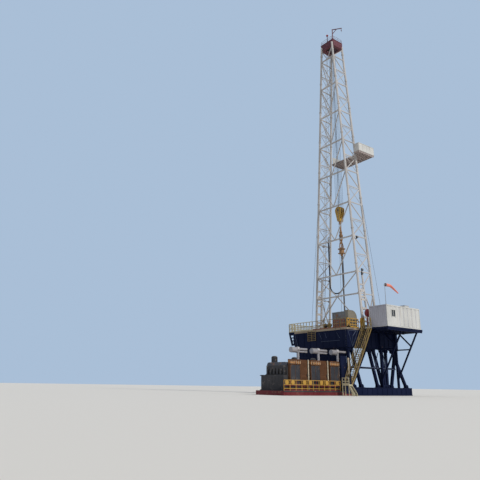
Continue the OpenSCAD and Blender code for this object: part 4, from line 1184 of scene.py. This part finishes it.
def makeLegs(s):
    # eyes, pins and plates at the ends of the slanting legs, and lighter bracing between them
    right, eyes, braces = span("side_frames")[3], newShape(), []
    wide, long, thick = s["legPlate"]
    for side in (-1, 1):
        x = side * (right + 390) / 2
        for top, foot in s["legs"]:
            for y, z, lift in ((top, s["girderLow"] - 12, 9), (foot, beamTop + 12, -16)):
                addLathe(eyes, s["eye"], (x, y, z), (1, 0, 0), 18)
                addLathe(eyes, s["pin"], (x, y, z), (1, 0, 0), 12)
                addBox(eyes, (x - wide, y - long, z + lift), (x + wide, y + long, z + lift + thick))
        braces += [[(x + side * 21, ya, za), (x + side * 21, yb, zb)] for ya, za, yb, zb in s["braces"]]
    tubeLines("legBraces", braces, 4.2, "blueSteel")
    finishShape(eyes, "legEyes", "navySteel", bevel=0.8)


def makeGirders(s):
    # flanges, ribs and bolts of the side, rear and front girders and of the base beams
    right, top, low, deep = *span("side_frames")[3::2], s["girderLow"], s["deep"]
    x0, y0, z0, x1, y1, _ = span("cross_girders")
    middle, tall, edge = (low + top) / 2, top - low - 16, newShape()
    for side in (-1, 1):
        addFlanges(edge, "x", side * right, side, y0, y1, (low, top - deep), s)
        addFlanges(edge, "x", side * beamRight, side, beamRear, beamFront, (0, beamTop - deep), s)
    addFlanges(edge, "y", y0, -1, x0 - 20, x1 + 20, (low, top - deep), s)
    addFlanges(edge, "y", y1, 1, x0 - 20, x1 + 20, (low + 102, top - deep), s)
    addBox(edge, (x0, y0 + 4, z0), (x1, y0 + 14, z0 + 8))
    finishShape(edge, "girderFlanges", "navySteel", bevel=0.8)
    sides = [line("y", y0 + 20, y1 - 20, side * (right + 1.5), middle) for side in (-1, 1)]
    ribLines("girderRibs", sides, s["rib"], (4, tall, 5), (1, 0, 0), "navySteel")
    beams = [line("y", beamRear + 30, beamFront - 30, side * (beamRight + 1), beamTop / 2)
             for side in (-1, 1)]
    ribLines("baseRibs", beams, 88, (5, beamTop - 18, 5), (1, 0, 0), "navySteel")
    rear = line("x", x0 + 10, x1 - 10, y0 - 1, middle)
    ribLines("rearGirderRibs", [rear], 97, (5, tall, 4), (0, -1, 0), "navySteel")
    curtain = line("x", x0 + 20, x1 - 20, y0 + 9, low - 64)
    ribLines("curtainRibs", [curtain], 60, (4, 120, 4), (0, -1, 0), "navySteel")
    bolts = [line("z", low + 20, top - 16, side * (x1 + 40), y0 - 2) for side in (-1, 1)]
    studLines("girderBolts", bolts, 18, 3.2, 3.5, (0, -1, 0), "slateSteel")


def makeGirderLines(s):
    # thin diagonals on the outer face under the stairs, and along the rear girder
    x, y, blue = span("side_frames")[3] + 4, span("cross_girders")[1] - 4, newShape()
    for ya, za, yb, zb in s["sideLines"]:
        addPath(blue, [(x, ya, za), (x, yb, zb)], 3.0, sides=5)
    for xa, za, xb, zb in s["rearLines"]:
        addPath(blue, [(xa, y, za), (xb, y, zb)], 2.6, sides=5)
    finishShape(blue, "girderLines", "blueSteel")


def makeRearBox():
    # plated box behind: frame and ribs, and a red strip along the foot of the beam
    x0, y0, _, x1, y1, z1 = span("rear_box")
    edge, strip = newShapes(2)
    addPlates(edge, "y", y0 - 3.5, y0 + 1, [(x0, beamTop, x1, beamTop + 10), (x0, z1 - 10, x1, z1),
                                            (x0, beamTop, x0 + 10, z1), (x1 - 10, beamTop, x1, z1)])
    addPlates(edge, "x", x1 - 1, x1 + 3, [(y0, beamTop + 1, y0 + 8, z1), (y1 - 8, beamTop + 1, y1, z1)])
    finishShape(edge, "rearBoxFrame", "navySteel", bevel=0.8)
    ribLines("rearBoxRibs", [line("x", x0 + 40, x1 - 40, y0 - 0.5, (beamTop + z1) / 2)], 52, (4, 310, 4),
             (0, -1, 0), "navySteel")
    addBox(strip, (beamRight - 2, beamRear, 2), (beamRight + 5.5, beamRear + 150, 20))
    finishShape(strip, "beamStrip", "skidRed", bevel=0.8)


# behind the floor's rear edge: hanging ladder; on the floor: a small winch
winch = {"x": (50, 160), "y": (-458, -398), "high": 86, "axle": 46, "ladder": (-198, -130, -62),
         "drop": (627, 750), "flange": ((0, 0), (30, 0), (31, 2), (31, 5), (30, 7), (0, 7)),
         "gear": ((0, 0), (16, 0), (19, 3), (19, 24), (13, 27), (0, 27))}


def makeWinch(s):
    (x0, x1), (y0, y1), z, top = s["x"], s["y"], floorTop, floorTop + s["high"]
    middle, axle, body, drum = (y0 + y1) / 2, floorTop + s["axle"], *newShapes(2)
    for y in (y0, y1 - 8):
        addBox(body, (x0, y, z), (x1, y + 8, z + 10))
    for x in (x0 + 4, x0 + 70):
        addLathe(body, s["flange"], (x, middle, axle), (1, 0, 0), 24)
        addBox(body, (x, y0 + 6, z + 4), (x + 7, y1 - 6, z + 40))
    rope = [(17 + 1.2 * (i % 2), 1 + i) for i in range(58)]
    addLathe(drum, [(0, 0), (17, 0)] + rope + [(17, 60), (0, 60)], (x0 + 10, middle, axle), (1, 0, 0), 24)
    addLathe(body, s["gear"], (x0 + 78, middle, axle), (1, 0, 0), 20)
    hoop = [(x0 + 2, z), (x0 + 2, top), (x1 - 4, top), (x1 - 4, z)]
    addPath(body, [(x, y0 + 4, high) for x, high in hoop], 3.2)
    finishShape(body, "winchBody", "stairYellow", 0.8)
    finishShape(drum, "winchDrum", "wireRope")


def makeHangingLadder(s):
    y, xs, (low, high) = floorRear - 6, s["ladder"], s["drop"]
    bars = [[(x, y, low), (x, y, high), (x, floorRear + 2, high)] for x in xs]
    bars += [line("x", xs[0], xs[-1], y, z) for z in steps(low + 6, high - 8, 5)]
    tubeLines("hangingLadder", bars, 3.0, "stairYellow", 8)


makeLegs(under)
makeGirders(under)
makeGirderLines(under)
makeRearBox()
makeWinch(winch)
makeHangingLadder(winch)
print("stage 9: substructure")

# doghouse deck: cross beams and white edge; doghouse roof: lifting eyes, battens and hatch; seam, bays and
# clear place the painted-shade strips in the cabin side's valleys
deck = {"beam": 82, "eye": 5, "battens": (150, 240, 330), "hatch": (84, 11, 361, 449), "seam": 2.6, "bays": 8,
        "clear": (70, 165)}


def makeDeck(s):
    left, rear, low, right, front, _ = span("doghouse_deck")
    x0, y0, _, x1, y1, _ = span("doghouse_sides")
    beams, edge = newShapes(2)
    for y in spaced(rear + 60, front - 10, s["beam"]):
        addPlates(beams, "x", left + 2, right - 12, [(y - 4, low - 16, y + 4, low + 1),
                                                     (y - 9, low - 19, y + 9, low - 16)])
    for x in (x0 - 10, right - 14):
        addBox(beams, (x, y0 - 8, low - 19), (x + 9, front - 2, low + 1))
    finishShape(beams, "deckBeams", "navySteel", bevel=0.8)
    z = floorTop
    addBox(edge, (x1 - 1, y0 - 9, z - 1), (x1 + 7.5, y1 + 6, z + 7))
    addBox(edge, (right - 250, y0 - 9, z - 1), (x1 + 7.5, y0 - 2, z + 5))
    addBox(edge, (left + 80, rear - 4, z - 12), (left + 190, rear - 1, z + 4))
    finishShape(edge, "deckEdge", "cabinWhite", bevel=0.6)


def makeRoof(s):
    left, rear, _, right, front, high = span("doghouse_roof")
    _, y0, _, x1, y1, z1 = span("doghouse_sides")
    fittings, size, low, (near, far, a, b) = newShape(), s["eye"], z1 + 5, s["hatch"]
    for x in (left + 12, right - 12):
        for y in (rear + 14, front - 14):
            addBox(fittings, (x - size, y - size, low), (x + size, y + size, low + 8))
    battens = [(rear + d - 2, low, rear + d + 2, low + 4) for d in s["battens"]]
    addPlates(fittings, "x", left + 6, right - 6, battens)
    addBox(fittings, (right - near, rear + a, high - 6), (right - far, rear + b, high - 0.5))
    finishShape(fittings, "cabinFittings", "cabinGrey", bevel=0.7)
    # upright grey strips in the valleys of the cabin's right side, painted shade in the recesses, left out at
    # the window
    clearLow, clearHigh = (y0 + d for d in s["clear"])
    valleyShades = [line("z", floorTop + 16, z1 - 12, x1 + 1.4, y) for y in steps(y0, y1, s["bays"])[1:-1]
             if not clearLow < y < clearHigh]
    tubeLines("cabinSeams", valleyShades, s["seam"], "cabinGrey")


# windsock: one sheet, wide at the ring and drooping to its open end
# a ring holds its distance from the pole, its height and its radius
sock = {"pole": (822, -207, 1238.3), "around": 36, "between": 4, "folds": 5, "fold": 0.16, "wobble": 0.05,
        "flat": 0.30, "slackFrom": 0.55, "thick": 0.0006, "girth": 0.0195, "long": 0.24,
        "rings": ((18.5, 0, 19), (40, 1, 19.6), (66, 1, 19.4), (90, 0, 18.8), (110, -4, 17.6), (130, -13, 16),
                  (152, -25, 14.2), (176, -38, 12.4), (200, -51, 10.8), (222, -63, 9.2), (242, -74, 7.8)),
        "hems": ((18.5, 0, 19.2, 0, 1), (242, -74, 7.0, -0.5, 0.72))}


def sockRings(s):
    rings, between = s["rings"], s["between"]
    fine = [[a + (b - a) * (k / between) for a, b in zip(near, far)]
            for near, far in zip(rings, rings[1:]) for k in range(between)]
    return fine + [list(rings[-1])]


def onSock(s, d, z, u, v, tilt):
    # u across the sock and v up it, on a ring that leans by the tilt
    x, y, high = s["pole"]
    return x + u, y + d - v * math.sin(tilt), high + z + v * math.cos(tilt)


def sockPoint(s, rings, i, turn):
    # folded and flattened more towards the open end
    count, (d, z, r) = len(rings), rings[i]
    near, far = rings[max(i - 1, 0)], rings[min(i + 1, count - 1)]
    slack = min(1.0, i / (count * s["slackFrom"]))
    crease = 0.5 + 0.5 * math.cos(s["folds"] * turn + 0.15 * i)
    fold = 1 - s["fold"] * slack * crease - s["wobble"] * slack * math.sin(0.9 * i)
    flat = 1 - s["flat"] * slack * abs(math.sin(turn))
    tilt = math.atan2(far[1] - near[1], far[0] - near[0])
    return onSock(s, d, z, r * fold * math.cos(turn), r * fold * flat * math.sin(turn), tilt)


def chartSock(mesh, around, last):
    # the sheet unrolled: once round it along u, from the ring to the open end along v
    chart = mesh.uv_layers.new(name="cloth")
    for face in mesh.polygons:
        seam = face.index % around == around - 1
        for loop in face.loop_indices:
            i, k = divmod(mesh.loops[loop].vertex_index, around)
            across = around if seam and not k else k
            chart.data[loop].uv = (across / around, 2.0 * i / last)


def makeWindsock(s):
    rings, n, shape, hem = sockRings(s), s["around"], *newShapes(2)
    last = len(rings) - 1
    verts = [sockPoint(s, rings, i, 2 * math.pi * k / n) for i in range(last + 1) for k in range(n)]
    addMesh(shape, verts, [(i * n + k, i * n + (k + 1) % n, (i + 1) * n + (k + 1) % n, (i + 1) * n + k)
                           for i in range(last) for k in range(n)])
    piece = finishShape(shape, "windsockCloth", "sockCloth", body="windsock")
    chartSock(piece.data, n, last)
    thick = piece.modifiers.new("cloth", "SOLIDIFY")
    thick.thickness, thick.offset = s["thick"], -1
    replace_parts(piece, "windsock_cloth")
    for d, z, r, tilt, squash in s["hems"]:
        route = [onSock(s, d, z, u, squash * v, tilt) for u, v in ringPoints(0, 0, r, 28)]
        addPath(hem, route, 0.8, sides=6, loop=True)
    edge = finishShape(hem, "windsockHems", "sockHem", body="windsock")


# racking board: beams and fingers; wind wall: ribs and rims; a finger runs over the reach along y
board = {"fingers": 9, "pitch": 17, "first": 66, "reach": (168, 338), "pipe": 3, "beam": 44, "rib": 62}


def makeBoard(s):
    left, _, z, right, front, top = span("racking_board")
    beams = newShape()
    for y in spaced(100, front - 8, s["beam"]):
        addBox(beams, (left + 6 if y > 135 else 262, y - 3, z - 12), (right - 4, y + 3, z + 1))
    for x, rear in ((left + 4, 135), (-60, 135), (120, 135), (right - 12, 60)):
        addBox(beams, (x, rear, z - 16), (x + 8, front - 4, z + 1))
    finishShape(beams, "boardBeams", "boardPaint", bevel=0.6)
    fingers = [line("y", *s["reach"], side * (s["first"] + s["pitch"] * i), top + 6)
               for side in (-1, 1) for i in range(s["fingers"])]
    tubeLines("rackFingers", fingers, s["pipe"], "mastPaint", 8)


def makeWindWall(s):
    x0, y0, z0, x1, y1, z1 = span("wind_wall")
    middle, size, rim = (z0 + z1) / 2, (2.4, z1 - z0 - 10, 1.6), newShape()
    ribLines("windRibsSide", [line("y", y0 + 16, y1 - 8, x1 + 1, middle)], s["rib"], size, (1, 0, 0),
             "cabinWhite")
    ribLines("windRibsFront", [line("x", x0 + 16, x1 - 16, y1 + 1, middle)], s["rib"], size, (0, 1, 0),
             "cabinWhite")
    for z in (z0, z1 - 7):
        addBox(rim, (x1 - 1, y0, z), (x1 + 3, y1 + 3, z + 7))
        addBox(rim, (x0, y1 - 1, z), (x1 + 3, y1 + 3, z + 7))
    finishShape(rim, "windRims", "cabinWhite", 0.6)


makeDeck(deck)
makeRoof(deck)
makeWindsock(sock)
makeBoard(board)
makeWindWall(board)
print("stage 10: doghouse deck, windsock and racking board")

# mast: gussets, collars, foot plates, ladder, second bars, lamps and pins
# a lamp holds its side, its share of the face from the rear leg to the front one, and its height
lattice = {"gusset": 30, "small": 0.7, "plate": 3, "ladder": (0.40, 0.54), "ladderOut": -16, "rung": 28,
           "extra": 3.4, "foot": 0.36, "footOut": 7, "footThick": 4, "footBays": 4,
           "lamps": ((1, 0.30, 1468), (1, 0.34, 1516), (1, 0.22, 1950), (-1, 0.5, 1968)),
           "collar": ((16, 0), (19, 1), (19, 9), (17, 10), (17, 12), (19, 13), (19, 21), (16, 22)),
           "pin": ((8, -38), (10, -36), (10, 36), (8, 38)),
           "bolt": ((4, 0), (4, 4), (2.4, 4), (2.4, 7), (0, 7))}
halfBay = (mast["girts"][2] - mast["girts"][1]) / 2


def facePoint(side, share, z, out=0.0):
    # on a side face, counted from the rear leg to the front one
    a, b = Vector(legPoint(side, -1, z)), Vector(legPoint(side, 1, z))
    return a.lerp(b, share) + Vector((side * out, 0, 0))


def addGusset(shape, corner, along, push, size):
    # pointed plate at a joint: along the leg and out along the bar
    up, out = Vector((0, 0, size)), along * size
    wide, narrow = up * 0.8, up * 0.3
    addSlab(shape, [corner - wide, corner + wide, corner + narrow + out, corner - narrow + out], push)


def makeGussets(s):
    shape, girts, size, thick = newShape(), mast["girts"], s["gusset"], s["plate"]
    levels = [(z, size) for z in girts] + [(z + halfBay, size * s["small"]) for z in girts[1:-1]]
    for side in (-1, 1):
        for z, wide in levels:
            for end, way in ((0, 1), (1, -1)):
                addGusset(shape, facePoint(side, end, z, 7), Vector((0, way, 0)), (side * thick, 0, 0), wide)
        for z in girts:
            corner = Vector(legPoint(side, -1, z)) + Vector((0, -8, 0))
            addGusset(shape, corner, Vector((-side, 0, 0)), (0, -thick, 0), size)
    finishShape(shape, "mastGussets", "mastPaint", bevel=0.4)


def makeCollars(s):
    shape = newShape()
    for side in (-1, 1):
        for end in (-1, 1):
            for z in [girt + 96 for girt in mast["girts"][1:]]:
                a, b = Vector(legPoint(side, end, z)), Vector(legPoint(side, end, z + 30))
                addLathe(shape, s["collar"], a, b - a, 12)
    finishShape(shape, "mastCollars", "mastPaint")


def makeFootPlates(s):
    # plates between the rear leg and the inner tube, with open windows between them
    shape, reach, bays = newShape(), s["foot"], s["footBays"]
    low, high = mast["foot"] + 6, mast["girts"][0] + 34
    levels = steps(low, high, bays)
    plates = [(0.02, reach, z - 13, z + 13) for z in levels[1:-1]]
    plates += [(0.02, reach, z - 20, z + 20) for z in levels[::bays]]
    plates += [(0.0, 0.07, low, high), (reach - 0.04, reach + 0.04, low, high)]
    for side in (-1, 1):
        for a, b, z0, z1 in plates:
            corners = ((a, z0), (b, z0), (b, z1), (a, z1))
            addSlab(shape, [facePoint(side, share, z, s["footOut"]) for share, z in corners],
                    (side * s["footThick"], 0, 0))
    finishShape(shape, "mastFootPlates", "mastPaint", bevel=0.5)


def makeMastLadder(s):
    low, top, out = mast["foot"], mast["crown"] - 30, s["ladderOut"]
    sides = [[facePoint(-1, f, z, out) for z in (low + 20, top)] for f in s["ladder"]]
    rungs = [[facePoint(-1, f, z, out) for f in s["ladder"]] for z in spaced(low + 40, top, s["rung"])]
    tubeLines("mastLadderRails", sides, 2.6, "mastPaint")
    tubeLines("mastLadderRungs", rungs, 1.6, "mastPaint", 4)


def makeSecondBars(s):
    # one level and one slanting bar in each bay, and another slanting one on the left face
    bars, girts = [], mast["girts"]
    for side in (-1, 1):
        for z, above in zip(girts[1:-1], girts[2:]):
            bars.append([facePoint(side, end, z + halfBay - 24) for end in (0, 1)])
            bars.append([facePoint(side, 1 - k / 2, z + halfBay * k / 2) for k in range(3)])
            if side < 0:
                bars.append([facePoint(side, 0, z + halfBay), facePoint(side, 1, above)])
    tubeLines("mastSecondBars", bars, s["extra"], "mastPaint")


def makeMastLamps(s):
    lamps, glass = newShapes(2)
    for side, share, z in s["lamps"]:
        x, y, _ = facePoint(side, share, z, 16)
        addBox(lamps, (x - 9, y - 15, z - 11), (x + 9, y + 15, z + 11))
        addPlates(lamps, "x", x, x - side * 18, [(y - 3, z - 20, y + 3, z + 20)])
        addPlates(glass, "x", x + side * 8.5, x + side * 10.4, [(y - 12, z - 8, y + 12, z + 8)])
    finishShape(lamps, "mastLamps", "engineDark", 1.0)
    finishShape(glass, "mastLampGlass", "lampGlass", 0.6)


def makeMastFeet(s):
    pins, z = newShape(), span("mast_feet")[2]
    for side in (-1, 1):
        for end in (-1, 1):
            x, y, _ = legPoint(side, end, mast["foot"])
            addBox(pins, (x - 36, y - 36, z), (x + 36, y + 36, z + 7))
            addLathe(pins, s["pin"], (x, y, z + 19), (1, 0, 0), 14)
            for dx in (-31, 31):
                for dy in (-31, 31):
                    addLathe(pins, s["bolt"], (x + dx, y + dy, z + 7), sides=6)
    finishShape(pins, "mastFootPins", "slateSteel", 0.6)


for make in (makeGussets, makeCollars, makeFootPlates, makeMastLadder, makeSecondBars, makeMastLamps,
             makeMastFeet):
    make(lattice)
print("stage 11: mast details")

# drawworks: panels and ribs behind, lid on the sloping front, lifting eyes and end covers
hoist = {"slope": 45, "share": 0.55, "rib": 43, "lid": (0.12, 0.88), "shaft": 96,
         "panels": ((0, 0, 1, 0.05), (0, 0.94, 1, 1), (0.16, 0.2, 0.42, 0.8), (0.56, 0.2, 0.84, 0.6))}


def makeHoist(s):
    x0, y0, z0, x1, y1, z1 = span("drawworks")
    wide, tall, panels, iron = x1 - x0, z1 - z0, *newShapes(2)
    ribLines("hoistRearRibs", [line("x", x0 + 12, x1 - 12, y0 - 0.5, (z0 + z1) / 2)], s["rib"], (4, 176, 4),
             (0, -1, 0), "hoistGrey")
    addPlates(panels, "y", y0 - 4, y0 + 1, [(x0 + wide * a, z0 + tall * b, x0 + wide * c, z0 + tall * d)
                                            for a, b, c, d in s["panels"]])
    top, lip = Vector((0, y1 - s["slope"], z1)), Vector((0, y1, z0 + tall * s["share"]))
    out = Vector((0, tall * (1 - s["share"]), s["slope"])).normalized() * 4
    near, far = s["lid"]
    rows = ((x0 + 20, near), (x1 - 20, near), (x1 - 20, far), (x0 + 20, far))
    addSlab(panels, [top.lerp(lip, share) + Vector((x, 0, 0)) for x, share in rows], out)
    for x in (x0 + 50, x1 - 50):
        hoop = ((x - 9, z1 - 1), (x - 9, z1 + 9), (x + 9, z1 + 9), (x + 9, z1 - 1))
        addPath(iron, [(u, y0 + 50, v) for u, v in hoop], 2.2, sides=6)
    for y, r in ((y0 + 70, 34), (y1 - 42, 22)):
        cover = [(0, -1), (r, -1), (r + 2, 2), (r * 0.6, 6), (r * 0.55, 11), (0, 11)]
        addLathe(iron, cover, (x0, y, z0 + s["shaft"]), (-1, 0, 0), 26)
    finishShape(panels, "hoistPanels", "hoistGrey", bevel=0.8)
    finishShape(iron, "hoistIron", "engineDark", 0.5)


# chain guard: rolled edge, seam and bolts
chainGuard = {"edge": 2.6, "round": 80}


def makeChainGuard(s):
    x0, y0, z0, x1, y1, z1 = span("chain_guard")
    edge, r = newShape(), s["round"]
    bend = arcPoints(y1 - r, z1 - r, r - 3, 90, 0, 10)
    route = [(y0 + 3, z0 + 3), (y0 + 3, z1 - 2)] + bend + [(y1 - 3, z0 + 3)]
    for x in (x0 + 2, x1 - 1):
        addPath(edge, [(x, y, z) for y, z in route], s["edge"], sides=6, loop=True)
    addBox(edge, (x1 - 1, y0 + 2, z0 + 88), (x1 + 2.6, y1 - 2, z0 + 94))
    finishShape(edge, "chainGuardEdge", "guardBeige")
    rows = [line("y", y0 + 16, y1 - 16, x1 + 0.4, z0 + lift) for lift in (78, 16)]
    rows.append(line("z", z0 + 110, z1 - 22, x1 + 0.4, y0 + 16))
    studLines("chainGuardBolts", rows, 26, 2.8, 2.6, (1, 0, 0), "sheaveSteel")


# hose reel: rolled rims, spokes, hub and wound hose
reel = {"high": 190, "rim": 44, "sides": (2, 28), "spokes": 6, "spoke": (8, 42), "turns": 10,
        "hub": ((0, -9), (7.5, -9), (8.5, -7), (8.5, 42), (7.5, 44), (0, 44))}


def makeReel(s):
    low, rear, _, high, _, _ = span("hose_reel")
    x, y, z = (low + high) / 2, rear + 8, floorTop + s["high"]
    rims, wound = newShapes(2)
    for d in s["sides"]:
        addPath(rims, [(u, y + d, v) for u, v in ringPoints(x, z, s["rim"], 32)], 2.8, loop=True)
    inner, outer = (ringPoints(x, z, r, s["spokes"]) for r in s["spoke"])
    for ends in zip(inner, outer):
        addPath(rims, [(u, y - 1, v) for u, v in ends], 2.0, sides=6)
    addLathe(rims, s["hub"], (x, y, z), (0, 1, 0), 16)
    coils = [(33 + 2.6 * (i % 2), 5 + i * 2) for i in range(s["turns"])]
    addLathe(wound, [(26, 4.5)] + coils + [(26, 24.5)], (x, y, z), (0, 1, 0), 32)
    finishShape(rims, "reelRims", "reelRed")
    finishShape(wound, "reelHose", "blackRubber")


# rotary table: master ring, bushing and bolts
rotary = {"ring": ((70, -1), (70, 2), (74, 3.4), (98, 3.4), (102, 1), (102, -1)), "bolts": 12, "boltRing": 86,
          "bushing": ((38, -1), (38, 7), (42, 9), (58, 9), (61, 6), (61, -1)),
          "bolt": ((4.6, 3), (4.6, 6.6), (3, 7.6), (0, 7.6))}


def makeRotary(s):
    ring, dark, z = *newShapes(2), span("rotary_table")[5]
    addLathe(ring, s["ring"], (0, 0, z), sides=40)
    addLathe(ring, s["bushing"], (0, 0, z), sides=36)
    for x, y in ringPoints(0, 0, s["boltRing"], s["bolts"]):
        addLathe(dark, s["bolt"], (x, y, z), sides=6)
    finishShape(ring, "rotaryRings", "tableSteel")
    finishShape(dark, "rotaryBolts", "sheaveSteel")


# standpipe: clamps on the girts, flanges and valve at the foot
standpipe = {"y": 88, "foot": -376, "top": (-285, 2090), "bore": 6.2, "clamp": (10, 9), "flange": (12, 4),
             "flanges": (14, 60, 96), "valveHigh": 78,
             "valve": ((0, 5), (4, 5), (4, 18), (11, 18), (12, 20), (11, 22), (0, 22))}


def makeStandpipe(s):
    foot, top = Vector((s["foot"], s["y"], floorTop)), Vector((s["top"][0], s["y"], s["top"][1]))
    rise, shape = top - foot, newShape()

    def addClamp(z, size, sides):
        p, (r, half) = foot + rise * ((z - floorTop) / rise.z), size
        addLathe(shape, [(s["bore"], -half), (r, -half), (r, half), (s["bore"], half)], p, rise, sides)
        return p

    for z in mast["girts"][:3]:
        p = addClamp(z, s["clamp"], 16)
        addBox(shape, (-halfWide(z) - 3, p.y - 5, z - 4), (p.x - 6, p.y + 5, z + 4))
    for lift in s["flanges"]:
        addClamp(floorTop + lift, s["flange"], 18)
    addLathe(shape, s["valve"], foot + rise * (s["valveHigh"] / rise.z), (0, 1, 0), 18)
    finishShape(shape, "standpipeClamps", "pipeGrey", bevel=0.4)


# hook, swivel and kelly: collars, latch and bolts; a band holds its height and radius
string = {"hook": 1985, "bands": ((1989, 19), (2025, 19), (2039, 25), (2055, 25), (2066, 17), (2096, 17),
                                  (2125, 11)),
          "shank": ((0, 0), (8, 0), (13, 10), (14, 48), (0, 48)),
          "latch": ((24, 36), (31, 44), (31, 58), (24, 66)),
          "swivel": 1770, "bolts": 8, "bolt": ((2.6, 0), (2.6, 4), (0, 4.6)), "kelly": 9.8}


def makeString(s):
    bands, ring, collar = newShapes(3)
    hook, swivel, wide, r = s["hook"], s["swivel"], span("swivel")[4] - 3.5, s["kelly"]
    for z, size in s["bands"]:
        addRing(bands, size - 1, size + 1.6, 6, 0.8, (0, 0, z))
    addLathe(bands, s["shank"], (0, 0, hook - 50), sides=20)
    addBox(bands, (-5, 17, hook + 12), (5, 26, hook + 38))
    addPath(bands, [(0, y, hook + lift) for y, lift in s["latch"]], 3)
    finishShape(bands, "hookCollars", "hookBrown", bevel=0.4, body="block")
    for lift in (32, 92):
        addRing(ring, wide - 6, wide - 2.4, 7, 1, (0, 0, swivel + lift), sides=28)
    for x, y in ringPoints(0, 0, wide - 10, s["bolts"], 0.5):
        addLathe(ring, s["bolt"], (x, y, swivel + 99), sides=6)
    finishShape(ring, "swivelRings", "hookBrown", body="block")
    for drop in (38, 78):
        addRing(collar, r, r + 3, 28, 2, (0, 0, swivel - drop))
    finishShape(collar, "kellyCollars", "kellySteel", body="kelly")


# crown frame: flanges and ribs, beacon lens in its cage, hook of the davit
crownTrim = {"rib": 37, "size": (3, 92, 3), "deep": 7, "inset": 14, "out": 3.4, "beacon": (10, -100, 5262),
             "lens": 15.5, "hook": (210.1, 2.0, 5291), "bend": (99, -162),
             "shank": ((4, 0), (6.5, 1), (6.5, 9), (3, 12), (0, 12))}


def makeCrownTrim(s):
    x0, y0, low, x1, y1, _ = span("crown_frame")
    trim, middle = newShape(), low + 55
    for side, across, ahead in ((-1, "Left", "Rear"), (1, "Right", "Front")):
        x, y = side * x1, side * y1
        for z, gap in ((low, s["inset"]), (low + crown["frame"] - s["deep"], 0)):
            for axis, face, a, b in (("x", x, y0, y1), ("y", y, x0, x1)):
                row = (a + gap, z, b - gap, z + s["deep"])
                addPlates(trim, axis, face - side, face + side * s["out"], [row])
        ribLines("crownRibs" + across, [line("y", y0 + 26, y1 - 26, x, middle)], s["rib"], s["size"],
                 (side, 0, 0), "crownRed")
        ribLines("crownRibs" + ahead, [line("x", x0 + 26, x1 - 26, y, middle)], s["rib"], s["size"],
                 (0, side, 0), "crownRed")
    finishShape(trim, "crownTrim", "crownRed", bevel=0.5)


def makeBeacon(s):
    (x, y, z), r, lens, cage = s["beacon"], s["lens"], newShape(), []
    addLathe(lens, globeProfile(r, 12), (x, y, z))
    finishShape(lens, "beaconLens", "beaconRed")
    for a in (math.pi * i / 4 for i in range(4)):
        cage.append([(x + u * math.cos(a), y + u * math.sin(a), z + v)
                     for u, v in arcPoints(0, 0, r + 2, -90, 270, 24)])
    tubeLines("beaconCage", cage, 1.0, "crownRed", sides=5)


def makeDavitHook(s):
    (x, y, z), shape = s["hook"], newShape()
    addLathe(shape, s["shank"], (x, y, z), (0, 0, -1), 16)
    bend = [(u, y, v) for u, v in arcPoints(x, z - 24, 6, *s["bend"], 12)]
    addPath(shape, [(x, y, z - 10)] + bend, 1.8)
    finishShape(shape, "davitHook", "crownRed", body="davit")


makeHoist(hoist)
makeChainGuard(chainGuard)
makeReel(reel)
makeRotary(rotary)
makeStandpipe(standpipe)
makeString(string)
makeCrownTrim(crownTrim)
makeBeacon(crownTrim)
makeDavitHook(crownTrim)
print("stage 12: machinery, hook and crown")
